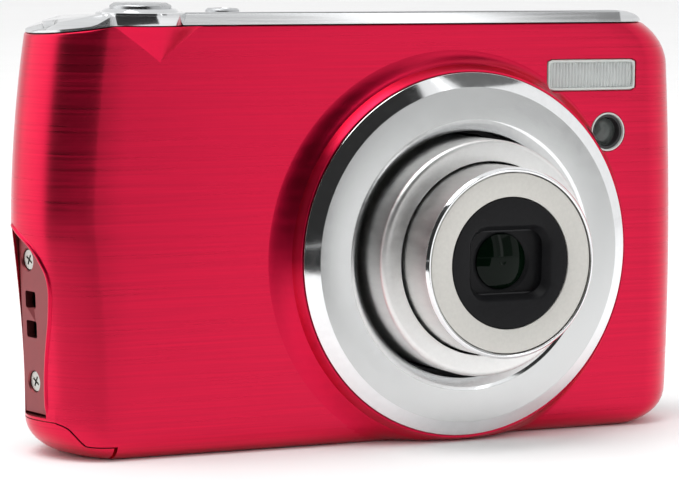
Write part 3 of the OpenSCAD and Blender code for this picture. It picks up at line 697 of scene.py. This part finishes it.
def slot_loops(w, d, r, x, z, h_face, h_in, flare):
    mouth = rect_loop(w + 2 * (flare + 1), d + 2 * (flare + 1), r + flare + 1, h_face + 1, x, z)
    return [mouth, rect_loop(w, d, r, h_face - flare, x, z), rect_loop(w, d, r, h_in, x, z)]


def slot_hole(name, w, d, r, x, z, h_face, h_in, flare=0.15):
    return stack(name, slot_loops(w, d, r, x, z, h_face, h_in, flare))


def post(name, r, x, y, z0, z1, n=48):
    return prism(name, round_points(r, n, x, y), z0, z1)


DOOR_LO, DOOR_HI = box_mm("battery_door")
DOOR_LIP_X = -37.7
CORNER = [(-60, -5), (DOOR_LIP_X, -5), (DOOR_LIP_X, 1.8), (-40.6, 1.9), (-41.5, 2.3), (-42.5, 3.4),
          (-43.3, 4.3), (-44.4, 4.85), (-60, 5.1)]
PLATE_Y = (-8, 4.2)
DOOR_GAP = 0.16


def inset(points, d):
    """A closed 2D outline moved inward by d along its corner normals."""
    area = sum(points[i - 1][0] * p[1] - p[0] * points[i - 1][1] for i, p in enumerate(points))
    s = 1 if area > 0 else -1
    out = []
    n = len(points)
    for i, p in enumerate(points):
        a, b, c = Vector(points[i - 1]), Vector(p), Vector(points[(i + 1) % n])
        u, v = (b - a).normalized(), (c - b).normalized()
        normal = Vector((-u.y - v.y, u.x + v.x)).normalized() * s
        k = max(normal.dot(Vector((-u.y, u.x)) * s), 0.5)
        out.append(tuple(b + normal * (d / k)))
    return out


def xz_prism(name, outline, y0, y1):
    return stack(name, [[(u, y, v) for u, v in outline] for y in (y0, y1)])


LIP_GAP = 0.32


def smooth_corner(grow):
    lip_x = DOOR_LIP_X + (LIP_GAP if grow else 0)
    curve = spline([(lip_x, CORNER[2][1])] + CORNER[3:-1], 4) + [CORNER[-1]]
    return inset([CORNER[0], (lip_x, CORNER[1][1])] + curve, -grow)


def door_cutters(grow):
    lip = prism("lip", [(DOOR_LIP_X - 4, PLATE_Y[0] - grow), (DOOR_HI.x + grow, PLATE_Y[0] - grow),
                        (DOOR_HI.x + grow, PLATE_Y[1] + grow), (DOOR_LIP_X - 4, PLATE_Y[1] + grow)],
                -5, WALL + grow + 0.3)
    return xz_prism("corner", smooth_corner(grow), -30, 30), lip


# battery door: the lower left corner of both halves and the plate under the battery
door_parts = []
for half in (front_case, back_case):
    part = copy_of(half, "door_part")
    corner, lip = door_cutters(0)
    door_parts.append(cut(part, cut(corner, lip, mode="UNION"), mode="INTERSECT"))
door = cut(door_parts[0], door_parts[1], mode="UNION")
door.name = "battery_door_red"

# strap panel: a flat scalloped plate let into the left side. The SCALLOP points were worked out by a helper
# script from the photograph, which the work rules forbid: see "Rules not met" in report.md.
PANEL_AT = Vector((-45.2, SEAM_Y - 0.8, 0))
PANEL_TURN = math.radians(9)
PANEL_LEAN = math.radians(3)
SCALLOP = [(0, 29.5), (-1.36, 29.17), (-3.04, 28.29), (-4.45, 27.39), (-5.59, 26.22), (-6.33, 25.01),
           (-6.87, 23.78), (-7.07, 22.01), (-6.88, 19.69), (-6.61, 17.61), (-6.23, 15.52), (-5.82, 12.89),
           (-5.6, 10.29), (-5.59, 7.7), (-5.75, 5.5)]
PANEL_OUTLINE = spline(SCALLOP, 5) + [(0, 5.5)]
PANEL_T = 1.1


def on_panel(x, t, z):
    """A point of the panel frame: x inward, t backward, z up."""
    c, s = math.cos(PANEL_TURN), math.sin(PANEL_TURN)
    x, z = (x * math.cos(PANEL_LEAN) - z * math.sin(PANEL_LEAN),
            x * math.sin(PANEL_LEAN) + z * math.cos(PANEL_LEAN))
    return (PANEL_AT.x + x * c - t * s, PANEL_AT.y + x * s + t * c, z)


def panel_stack(name, layers):
    return stack(name, [[on_panel(x, t, z) for t, z in inset(PANEL_OUTLINE, d)] for x, d in layers])


def solid_half(d):
    """Solid of the front half, drawn in by d."""
    loops = [[(x, y, z) for x, y in half_outline(z, d, -1)] for z in level_heights() if z > d]
    return stack("solid_half", loops)


pocket = tunnel("panel_pocket", [[on_panel(x, t, z) for t, z in inset(PANEL_OUTLINE, d)]
                                 for x, d in ((-3, -1.2), (-3, -0.1), (PANEL_T, -0.1), (PANEL_T, -1.2))])
cut(pocket, solid_half(0.3), mode="INTERSECT")
panel_cut = panel_stack("panel_cut", [(-20, -0.12), (PANEL_T + 0.1, -0.12)])
panel = panel_stack("strap_panel_plate", [(0, 0.22), (0.08, 0.1), (0.22, 0.03), (PANEL_T, 0.03)])
STRAP_T, STRAP_W, STRAP_H = -2.5, 2.5, 2.2
STRAP_HOLES_Z = (20.3, 16.5)
STRAP_CORNER_R = 0.3
SCREWS = ((-2.1, 25.4), (-2.5, 9.7))
SCREW_R = 1.35
CUT_OUT, CUT_IN = -1, 3
panel_cutters = []
for z in STRAP_HOLES_Z:
    t0, t1 = STRAP_T - STRAP_W / 2, STRAP_T + STRAP_W / 2
    z0, z1 = z - STRAP_H / 2, z + STRAP_H / 2
    hole = rounded([(t0, z0), (t1, z0), (t1, z1), (t0, z1)], STRAP_CORNER_R)
    panel_cutters.append(stack("strap_hole", [[on_panel(x, *p) for p in hole] for x in (CUT_OUT, 0.05, CUT_IN)]))
for t, z in SCREWS:
    steps = ((CUT_OUT, SCREW_R + 1.15), (0.15, SCREW_R), (CUT_IN, SCREW_R))
    panel_cutters.append(stack("screw_hole", [[on_panel(x, *p) for p in round_points(r, 40, t, z)]
                                              for x, r in steps]))
cut(panel, *panel_cutters)


def side_x(y, z, d=0):
    """X of the left side skin at depth y and height z."""
    x = left_x(z, d) + REAR_IN * (max(y - REAR_IN_Y, 0) / (SEAM_Y - REAR_IN_Y)) ** 2
    if y >= 0:
        return x
    return x + FRONT_L_A * (1 - math.sqrt(max(1 - (y / FRONT_Y) ** 2, 0)))


BEAD_R = 0.36
bead_path = []
for t, z in inset(PANEL_OUTLINE, -0.3)[:-1]:
    y = on_panel(0, t, z)[1]
    bead_path.append((side_x(y, z) + 0.16, y, z))
bead = tube("scallop_bead", [p for p in bead_path if p[2] > 5.6], BEAD_R)

# openings in the front half
USB_LO, USB_HI = box_mm("usb_cover")
USB_GAP = 0.15
case_cutters = [
    panel_cut,
    *door_cutters(DOOR_GAP),
    round_hole("bore", RING_R + 0.15, LENS.x, LENS.z, -FRONT_Y, 4, 0.02),
    slot_hole("flash_hole", FLASH_SIZE.x + 0.1, FLASH_SIZE.z + 0.1, 0.5, FLASH.x, FLASH.z, -FRONT_Y, 6, 0.12),
    round_hole("lamp_hole", LAMP_R + 0.03, LAMP.x, LAMP.z, -FRONT_Y, 6, 0.2),
    brick("usb_hole", (HALF_W - 4, USB_LO.y - USB_GAP, USB_LO.z - USB_GAP),
          (HALF_W + 4, USB_HI.y + USB_GAP, USB_HI.z + USB_GAP)),
]


BASE_SCREWS = ((-3.5, 7), (27, 7), (20, -6), (38, -6))


def base_cutters():
    nut_r = box_mm("tripod_nut")[1].x
    knuckle = box_mm("door_hinge_bracket")[1]
    out = [post("nut_hole", nut_r + 0.1, 0, 0, -1, 9),
           brick("hinge_gap", (DOOR_HI.x - 1, PLATE_Y[0] - 0.2, -1),
                 (knuckle.x + 0.2, PLATE_Y[1] + 0.2, WALL + 1))]
    for x, y in BASE_SCREWS:
        out.append(post("screw_hole", 1.5, x, y, -1, 3))
    return out


cut(front_case, *case_cutters, *base_cutters())

# openings in the back half
PAD = middle("dpad_ring")
PAD_R = box_mm("dpad_ring")[1].x - PAD.x
LCD = middle("lcd_window")
LCD_SIZE = box_mm("lcd_window")[1] - box_mm("lcd_window")[0]
ROCKER = middle("zoom_rocker")
ROCKER_SIZE = box_mm("zoom_rocker")[1] - box_mm("zoom_rocker")[0]
LED = middle("status_led")


HOLE_IN = 4


def back_loops(loops):
    """The same loops mirrored to the back."""
    return [[(x, -y, z) for x, y, z in reversed(loop)] for loop in loops]


def back_round(name, r, x, z, flare=0.2):
    return stack(name, back_loops([circle(r + flare + 1, BACK_Y + 1, cx=x, cz=z),
                                   circle(r, BACK_Y - flare, cx=x, cz=z), circle(r, HOLE_IN, cx=x, cz=z)]))


def back_slot(name, w, d, r, x, z, flare=0.2):
    return stack(name, back_loops(slot_loops(w, d, r, x, z, BACK_Y, HOLE_IN, flare)))


back_cutters = [back_slot("lcd_hole", LCD_SIZE.x + 0.2, LCD_SIZE.z + 0.2, 2.0, LCD.x, LCD.z, 0.12),
                back_round("pad_hole", PAD_R + 0.3, PAD.x, PAD.z),
                back_slot("rocker_hole", ROCKER_SIZE.x + 0.5, ROCKER_SIZE.z + 0.5, 1.5, ROCKER.x, ROCKER.z),
                back_round("led_hole", 0.9, LED.x, LED.z, 0.1)]
for key in ("menu_key", "play_key", "delete_key", "mode_key", "record_key"):
    lo, hi = box_mm(key)
    key_r = (hi.x - lo.x) / 2 - 0.6
    back_cutters.append(back_round(key + "_hole", key_r + 0.25, (lo.x + hi.x) / 2, (lo.z + hi.z) / 2))
cut(back_case, *back_cutters, *door_cutters(DOOR_GAP), *base_cutters())

piece(front_case, mat_red, "camera_body", "red_case", "front_shell")
piece(back_case, mat_back, "camera_body", "back_cover", "rear_cover")
piece(door, mat_red, "battery_door", "red_case", "battery_door")
# the strap panel and its pocket wear the red metal's painted-shade copy, not a colour of their own
piece(panel, mat_red_painted_shade, "camera_body", "grip_panel", "strap_panel")
piece(bead, mat_red_smooth, "camera_body", "red_case")
piece(pocket, mat_red_painted_shade, "camera_body", "grip_panel")

# ------------ collar round the lens

COLLAR_FOOT = 28.6
COLLAR_CREST = 25.2
COLLAR_MEAN = 0.62
CREST_H = 1.0
collar_profile = [(COLLAR_FOOT, -FRONT_Y - 0.9)]
for i in range(13):
    t = i / 12
    r = COLLAR_FOOT + (COLLAR_CREST + 0.06 - COLLAR_FOOT) * t
    collar_profile.append((r, -FRONT_Y - 0.02 + (CREST_H + 0.02) * t ** 2.4))
collar_profile += [(COLLAR_CREST - 0.1, -FRONT_Y + CREST_H + 0.08), (RING_R + 0.42, 12.75), (RING_R + 0.3, 12.9),
                   (RING_R + 0.08, 12.85), (RING_R + 0.08, -FRONT_Y - 0.9)]
collar = lathe("lens_collar", collar_profile, (LENS.x, 0, LENS.z), segments=200)
for v in collar.data.vertices:
    r = math.hypot(v.co.x, v.co.z) / MM
    if r > COLLAR_CREST:
        reach = COLLAR_MEAN - (1 - COLLAR_MEAN) * v.co.x / MM / r
        k = (COLLAR_CREST + (r - COLLAR_CREST) * reach) / r
        v.co.x *= k
        v.co.z *= k
        r *= k
    z = v.co.z / MM + LENS.z
    if z < FOOT_R:
        w = min(max((r - COLLAR_CREST) / 1.3, 0), 1)
        v.co.y += (front_y(max(z, 0)) - FRONT_Y) * w * MM
cut(collar, brick("under", (-60, -40, -20), (60, 20, 0.3)),
    stack("flash_clear_cut", [rect_loop(FLASH_SIZE.x + 0.5, FLASH_SIZE.z + 0.5, 0.7, h, FLASH.x, FLASH.z)
                              for h in (20, 5)]),
    stack("lamp_clear_cut", [circle(LAMP_R + 0.25, h, cx=LAMP.x, cz=LAMP.z) for h in (20, 5)]))
piece(collar, mat_red_smooth, "camera_body", "red_case")

# ------------ silver cap

SHUTTER_HOLE_R = SHUTTER_R + 0.25
CAP_FACET = 2.0
CAP_FACET_X = -37.6


def cap_top(x, y):
    """Height of the cap's top surface."""
    if x < TOP_LEFT[-1][0]:
        z = along(TOP_LEFT, x)
    else:
        corner_x = right_lean(TOP_Z - CORNER_B) - CORNER_A
        z = TOP_Z
        if x > corner_x:
            s = min((x - corner_x) / CORNER_A, 1)
            z = TOP_Z - CORNER_B + CORNER_B * math.sqrt(1 - s * s)
    return z - TOP_SLOPE * (y - FRONT_Y)


def cap_mesh():
    n = len(half_outline(CAP_Z, 0, -1))

    def loop_at(d):
        return half_outline(CAP_Z, d, -1) + half_outline(CAP_Z, d, 1)[-2:0:-1]

    def ring_at(d, lift):
        """Closed loop; lift None is the lower edge, otherwise millimetres under the top edge."""
        pts = []
        for (x0, y0), (x1, y1) in zip(loop_at(0), loop_at(CAP_FACET)):
            low = cap_line(x0) + CAP_GAP
            facet = min(max((CAP_FACET_X - x0) / 3, 0), 1)
            if lift is None:
                k = d / CAP_FACET
                z = low
            else:
                k = d / CAP_FACET + (facet if lift < 0.25 else 0)
                z = max(cap_top(x0, y0) - lift, low + 0.02)
                if lift > 0.25:
                    z = min(z, low + 0.3 + (z - low) * (1 - facet))
            pts.append((x0 + (x1 - x0) * k, y0 + (y1 - y0) * k, z))
        return pts

    loops = [ring_at(0.6, None), ring_at(0.0, None)]
    r = 0.3
    loops.append(ring_at(0, r))
    for i in (1, 2, 3):
        t = math.pi / 2 * i / 3
        loops.append(ring_at(r * (1 - math.cos(t)), r * (1 - math.sin(t))))
    verts = []
    rows = add_rows(verts, loops)
    faces = grid_faces(rows, closed_cols=True)
    across = 6

    def fill(row, z_of):
        f_idx = row[:n]
        b_idx = [row[0]] + row[n:][::-1] + [row[n - 1]]
        prev = None
        for a, b in zip(f_idx, b_idx):
            if a == b:
                line = [a] * (across + 1)
            else:
                pa, pb = Vector(verts[a]), Vector(verts[b])
                line = [a]
                for k in range(1, across):
                    p = pa.lerp(pb, k / across)
                    line.append(len(verts))
                    verts.append((p.x, p.y, z_of(p.x, p.y)))
                line.append(b)
            if prev is not None:
                for k in range(across):
                    quad = (prev[k], prev[k + 1], line[k + 1], line[k])
                    quad = tuple(dict.fromkeys(quad))
                    if len(quad) > 2:
                        faces.append(quad)
            prev = line

    fill(rows[-1], cap_top)
    fill(rows[0], lambda x, y: cap_line(x) + CAP_GAP)
    return mesh_object("silver_cap_plate", verts, faces)


cap = cap_mesh()
top_cutters = [post("shutter_hole", SHUTTER_HOLE_R, SHUTTER.x, SHUTTER.y, 50, 70, 64),
               post("power_hole", POWER_R + 0.25, POWER.x, POWER.y, 50, 70)]
for i in range(-2, 3):
    top_cutters.append(post("sound_hole", 0.5, 24 + 1.8 * i, 1.5, 56.2, 70, 20))
for i in range(-1, 2):
    top_cutters.append(post("mic_hole", 0.4, -8 + 1.6 * i, -4.5, 56.2, 70, 20))
cut(cap, *top_cutters)
piece(cap, mat_cap, "camera_body", "silver_cap", "top_plate")

# raised platform of the shutter button: silver above the line, red and pointed below it
DAIS_TIP = Vector((-31.4, FRONT_Y + 0.35, 50.9))


DAIS_TOP_R = 5.8
DAIS_LOW_R = 5.5
DAIS_RIM = 0.4
CONE_X = -32.1
CONE_HALF = 6.2
CONE_OUT = 1.9


def dais_ring(r, z, shift=0.0):
    """Round loop of the platform at height z, its centre moved back from the button's by shift."""
    return [(x, y, z) for x, y in round_points(r, 72, SHUTTER.x, SHUTTER.y + shift)]


low_z = CAP_Z + CAP_GAP
DAIS_SHIFT = -0.2
rim_z = TOP_Z + DAIS_RIM
outside = [(DAIS_LOW_R, low_z), (DAIS_TOP_R, TOP_Z - 0.3), (DAIS_TOP_R - 0.05, TOP_Z - 0.08),
           (DAIS_TOP_R - 0.25, TOP_Z)]
inside = [(0.75, TOP_Z), (0.4, rim_z - 0.06), (0.3, rim_z), (0.05, rim_z - 0.04), (0, rim_z - 0.15), (0, low_z)]
dais_silver = tunnel("dais_silver", [dais_ring(r, z, DAIS_SHIFT) for r, z in outside]
                     + [dais_ring(SHUTTER_HOLE_R + r, z) for r, z in inside])
piece(dais_silver, mat_cap, "camera_body", "silver_cap")


def cone_loop(t, drop):
    """Section of the red point under the platform, t = 0 at the cap line and 1 at the tip."""
    cx = CONE_X + (DAIS_TIP.x - 0.4 - CONE_X) * t
    half = CONE_HALF * (1 - t) + 0.3
    out = CONE_OUT * (1 - t) ** 1.2
    z = CAP_Z + (DAIS_TIP.z - CAP_Z) * t - drop
    loop = []
    for i in range(33):
        u = -1 + 2 * i / 32
        swell = (0.5 + 0.5 * math.cos(math.pi * u)) ** 0.8
        x = cx + half * u
        loop.append((x, FRONT_Y + 0.12 - (out + 0.12) * swell, min(z, cap_line(x) - drop)))
    loop += [(cx + half, FRONT_Y + 0.9, z), (cx - half, FRONT_Y + 0.9, min(z, cap_line(cx - half) - drop))]
    return loop


dais_red = stack("dais_red", [cone_loop(i / 12, 0.04 if i == 0 else 0.12) for i in range(13)])
piece(dais_red, mat_red_smooth, "camera_body", "red_case")

# ------------ shutter button

button_base = TOP_Z - 0.8
button_top = box_mm("shutter_button")[1].z
button_profile = rounded([(0, button_base, 0), (SHUTTER_R, button_base, 0.1), (SHUTTER_R, button_top - 0.35, 0.25),
                          (SHUTTER_R - 0.55, button_top, 0.35), (SHUTTER_R - 1.1, button_top - 0.02, 0.3),
                          (0, button_top - 0.16, 0)], 0.1)
button = lathe("shutter_cap", button_profile, (SHUTTER.x, SHUTTER.y, 0), "z", 128, z0=button_base)
piece(button, mat_button, "shutter_button", "button_metal", "shutter_button")

# ------------ lens ring and barrels

RIM_H = 13.1


def brighten(obj, is_bright):
    """Bevel finish on the faces that is_bright(radius, height forward) picks."""
    obj.data.materials.append(mat_bevel)
    for p in obj.data.polygons:
        if is_bright(math.hypot(p.center.x, p.center.z) / MM, -p.center.y / MM):
            p.material_index = 1


ring_profile = rounded([(16.4, 9.4, 0), (RING_R, 9.4, 0.1), (RING_R, RIM_H, 0.16), (22.2, RIM_H + 1.0, 0.1),
                        (17.95, RIM_H + 1.28, 0.12), (17.5, RIM_H + 1.12, 0.1), (16.4, RIM_H + 0.1, 0.1)], 0.1, 3)
ring = lathe("satin_lens_ring", ring_profile, segments=240)
dress(ring, mat_ring)
brighten(ring, lambda r, h: r > 22.25 or (r < 17.9 and h > 12))
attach(ring, "camera_body")
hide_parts("lens_ring")

B1_LO, B1_HI = box_mm("outer_barrel")
B1_R = B1_HI.x - LENS.x
B1_FRONT = -B1_LO.y
B1_BACK = -B1_HI.y
B2_LO, B2_HI = box_mm("inner_barrel")
B2_R = B2_HI.x - LENS.x
B2_FRONT = -B2_LO.y
B2_BACK = -B2_HI.y

outer_profile = rounded([(B1_R - 1.2, B1_BACK, 0), (B1_R, B1_BACK, 0.1), (B1_R, B1_FRONT, 0.75),
                         (B2_R + 0.3, B1_FRONT, 0.12), (B2_R + 0.3, B1_FRONT - 1.2, 0),
                         (B1_R - 1.2, B1_FRONT - 2, 0)],
                        0.1, 6)
outer = lathe("zoom_barrel_outer", outer_profile, segments=220)
piece(outer, mat_barrel, "outer_barrel", "barrel_metal", "outer_barrel")

inner_profile = rounded([(B2_R - 1.1, B2_BACK, 0), (B2_R, B2_BACK, 0.1), (B2_R, B2_FRONT - 0.42, 0.08),
                         (B2_R - 0.3, B2_FRONT, 0.15), (B2_R - 0.58, B2_FRONT - 0.04, 0.06),
                         (B2_R - 0.62, B2_FRONT - 1.4, 0), (B2_R - 1.1, B2_FRONT - 1.4, 0)], 0.05, 4)
inner = lathe("zoom_barrel_inner", inner_profile, segments=220)
dress(inner, mat_barrel)
brighten(inner, lambda r, h: h > B2_FRONT - 0.45)
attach(inner, "inner_barrel")
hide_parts("inner_barrel")

DISC_R = box_mm("face_disc")[1].x - LENS.x
face_h = -box_mm("front_bezel")[0].y
bezel = lathe("face_ring", rounded([(DISC_R + 0.06, face_h - 1.15, 0), (B2_R - 0.72, face_h - 1.15, 0),
                                    (B2_R - 0.72, face_h - 0.02, 0.12), (DISC_R + 0.06, face_h - 0.16, 0.12)], 0.1, 4),
              segments=200)
piece(bezel, mat_face, "inner_barrel", "face_metal", "front_bezel")

disc_h = -box_mm("face_disc")[0].y
disc_loops = [circle(DISC_R - 0.02, disc_h - 1.2), circle(DISC_R - 0.02, disc_h - 0.14),
              circle(DISC_R - 0.12, disc_h - 0.03),
              rect_loop(12.3, 10.1, 2.7, disc_h), rect_loop(12.0, 9.8, 2.6, disc_h - 0.06),
              rect_loop(11.75, 9.55, 2.5, disc_h - 0.22), rect_loop(10.6, 8.4, 2.2, disc_h - 1.2)]
disc = tunnel("dark_face_disc", disc_loops, LENS_AT)
piece(disc, mat_black, "inner_barrel", "black_plastic", "face_disc")

# ------------ flash window

frame_h = -FRONT_Y + 0.06
fw, fh = FLASH_SIZE.x, FLASH_SIZE.z
FRAME_BACK = 9.3
frame_loops = [(0, 0.5, FRAME_BACK), (0, 0.5, frame_h - 0.12), (0.2, 0.45, frame_h), (0.62, 0.35, frame_h),
               (0.8, 0.3, frame_h - 0.12), (0.8, 0.3, FRAME_BACK)]
flash_frame = tunnel("flash_rim", [rect_loop(fw - d, fh - d, r, h, FLASH.x, FLASH.z) for d, r, h in frame_loops])
piece(flash_frame, mat_flash_frame, "camera_body", "flash_clear")

RIBS = 26
RIB_DEPTH = 0.16


def ribbed_pane():
    """Clear pane with upright half-round ribs on its front, closed at the back."""
    w, d = fw - 0.84, fh - 0.84
    per = 6
    cols = RIBS * per + 1
    verts, front_rows = [], []
    for z in (-d / 2, 0.0, d / 2):
        row = []
        for i in range(cols):
            x = -w / 2 + w * i / (cols - 1)
            phase = (i % per) / per
            h = -FRONT_Y - 0.22 - RIB_DEPTH * (1 - math.sin(math.pi * phase))
            row.append((FLASH.x + x, -h, FLASH.z + z))
        front_rows.append(row)
    back_rows = [[(x, FRONT_Y + 1.2, z) for x, y, z in row] for row in front_rows]
    f = add_rows(verts, front_rows)
    b = add_rows(verts, back_rows)
    faces = grid_faces(f) + grid_faces(b)
    faces += grid_faces([f[0], b[0]]) + grid_faces([f[-1], b[-1]])
    left_f, left_b = [r[0] for r in f], [r[0] for r in b]
    right_f, right_b = [r[-1] for r in f], [r[-1] for r in b]
    faces += grid_faces([left_f, left_b]) + grid_faces([right_f, right_b])
    return mesh_object("flash_pane", verts, faces, sharp=math.radians(50))


pane = ribbed_pane()
piece(pane, mat_clear, "camera_body", "flash_clear", "flash_window")

# bright lip round the focus lamp
lamp_lip = lathe("lamp_lip", rounded([(LAMP_R - 0.22, 9.9), (LAMP_R + 0.12, 9.9), (LAMP_R + 0.12, -FRONT_Y + 0.04),
                                      (LAMP_R - 0.1, -FRONT_Y + 0.05)], 0.06, 3),
                 (LAMP.x, 0, LAMP.z), segments=72)
piece(lamp_lip, mat_flash_frame, "camera_body", "stamped_steel")

# ------------ finishes of the CAD pieces

FINISHES = {
    mat_screw: ("panel_screws", "base_screws"),
    mat_steel: ("door_hinge_bracket", "door_hinge_pin", "sd_slot", "zoom_motor", "chassis", "usb_port"),
    mat_inner: ("battery_box", "lens_block", "af_lamp_holder", "flash_capacitor", "speaker", "dpad_gimbal"),
    mat_wrap: ("battery",),
    mat_brass: ("battery_contacts",),
    mat_latch: ("battery_latch",),
    mat_card: ("sd_card",),
    mat_rubber: ("barrel_seal",),
    mat_glass: ("focus_lens_group", "front_lens"),
    mat_sensor: ("image_sensor",),
    mat_black: ("lens_holder",),
    mat_blade: ("barrier_blade_upper", "barrier_blade_lower"),
    mat_reflector: ("flash_reflector",),
    mat_tube: ("flash_tube",),
    mat_lamp: ("af_lamp_lens",),
    mat_spring: ("shutter_spring",),
    mat_button: ("power_button",),
    mat_lcd_glass: ("lcd_window",),
    mat_lcd: ("lcd_panel",),
    mat_key: ("zoom_rocker", "dpad_ring", "ok_key", "menu_key", "play_key", "delete_key", "mode_key"),
    mat_key_red: ("record_key",),
    mat_board: ("keypad_board", "main_board"),
    mat_nut: ("tripod_nut",),
    mat_flap: ("usb_cover",),
    mat_led: ("status_led",),
}
SMALL_EDGES = ("zoom_rocker", "usb_cover", "lcd_window", "battery_latch", "usb_port", "battery", "sd_card",
               "door_hinge_bracket", "chassis", "battery_box", "sd_slot")
for material, names in FINISHES.items():
    for name in names:
        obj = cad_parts[name]
        for s in obj.material_slots:
            s.link = "DATA"
        dress(obj, material)
        if name in SMALL_EDGES:
            weld = obj.modifiers.new("weld", "WELD")
            weld.merge_threshold = 1e-6
            bevel = obj.modifiers.new("edge", "BEVEL")
            bevel.width = 0.12 * MM
            bevel.segments = 2
            bevel.limit_method = "ANGLE"
            bevel.angle_limit = math.radians(40)
            bevel.harden_normals = False

# ------------ studio

scene = bpy.context.scene
scene.view_settings.view_transform = "Standard"
world = bpy.data.worlds.new("studio")
scene.world = world
world.use_nodes = True
background = world.node_tree.nodes["Background"]
background.inputs["Color"].default_value = (1, 1, 1, 1)
background.inputs["Strength"].default_value = 0.95


def stage_mesh(name, verts, faces, material):
    mesh = bpy.data.meshes.new(name)
    mesh.from_pydata([Vector(v) for v in verts], [], faces)
    obj = bpy.data.objects.new(name, mesh)
    link(obj)
    mesh.materials.append(material)
    return obj


floor_mat = finish_of("floor_white", (0.93, 0.93, 0.93), 0.0, (0.6, 0.7), 30, 0.01, 0.00001, 0.05,
                      specular=0.2)
stage_mesh("floor", [(-6, -6, 0), (6, -6, 0), (6, 6, 0), (-6, 6, 0)], [(0, 1, 2, 3)], floor_mat)


def glow(name, level):
    """Plain emission for the studio cards."""
    m = bpy.data.materials.new(name)
    m.use_nodes = True
    nt = m.node_tree
    nt.nodes.remove(nt.nodes["Principled BSDF"])
    e = node(nt, "ShaderNodeEmission")
    e.inputs["Color"].default_value = (1, 1, 1, 1)
    e.inputs["Strength"].default_value = level
    nt.links.new(e.outputs["Emission"], nt.nodes["Material Output"].inputs["Surface"])
    return m


def unseen(obj):
    """Leave a studio card in reflections only."""
    obj.visible_camera = False
    obj.visible_diffuse = False
    obj.visible_shadow = False
    obj.visible_transmission = False
    obj.visible_volume_scatter = False


CARD_COLS = 12
CARD_ROWS = 6
FLOOR_LIFT = 0.0015


def card(name, az0, az1, el0, el1, radius, level):
    """A curved studio card round the object."""
    rows = []
    for i in range(CARD_COLS + 1):
        a = math.radians(az0 + (az1 - az0) * i / CARD_COLS)
        row = []
        for k in range(CARD_ROWS + 1):
            b = math.radians(el0 + (el1 - el0) * k / CARD_ROWS)
            flat = radius * math.cos(b)
            row.append((math.sin(a) * flat, -math.cos(a) * flat, radius * math.sin(b)))
        rows.append(row)
    verts = []
    index = add_rows(verts, rows)
    unseen(stage_mesh(name, verts, grid_faces(index), glow(name, level)))


def floor_card(name, az0, az1, r0, r1, level):
    """A flat studio card on the floor."""
    rows = []
    for i in range(CARD_COLS + 1):
        a = math.radians(az0 + (az1 - az0) * i / CARD_COLS)
        rows.append([(r * math.sin(a), -r * math.cos(a), FLOOR_LIFT) for r in (r0, r1)])
    verts = []
    index = add_rows(verts, rows)
    unseen(stage_mesh(name, verts, grid_faces(index), glow(name, level)))


floor_card("card_dark_floor", -90, 14, 0.14, 1.2, 0.04)
card("card_dark_front", -90, 17, 0.5, 75, 1.2, 0.03)
card("card_bright_left", -140, -95, 0.5, 60, 1.25, 1.6)
card("card_mid_front", 21.5, 26, 0.5, 24, 1.4, 0.75)
card("card_bright_front", 26.6, 30, 0.5, 60, 1.4, 1.9)
card("card_grey_front", 30.8, 44, 0.5, 20, 1.4, 0.35)
card("card_dark_high", 34, 75, 40, 66, 1.5, 0.15)

key = bpy.data.lights.new("key", "AREA")
key.shape = "RECTANGLE"
key.size, key.size_y = 0.8, 0.6
key.energy = 6
key_obj = bpy.data.objects.new("key", key)
scene.collection.objects.link(key_obj)
KEY_AT = Vector((-0.35, -0.1, 1.0))
KEY_AIM = Vector((0, 0, 0.03))
key_obj.location = KEY_AT
key_obj.rotation_euler = (KEY_AT - KEY_AIM).to_track_quat("Z", "Y").to_euler()
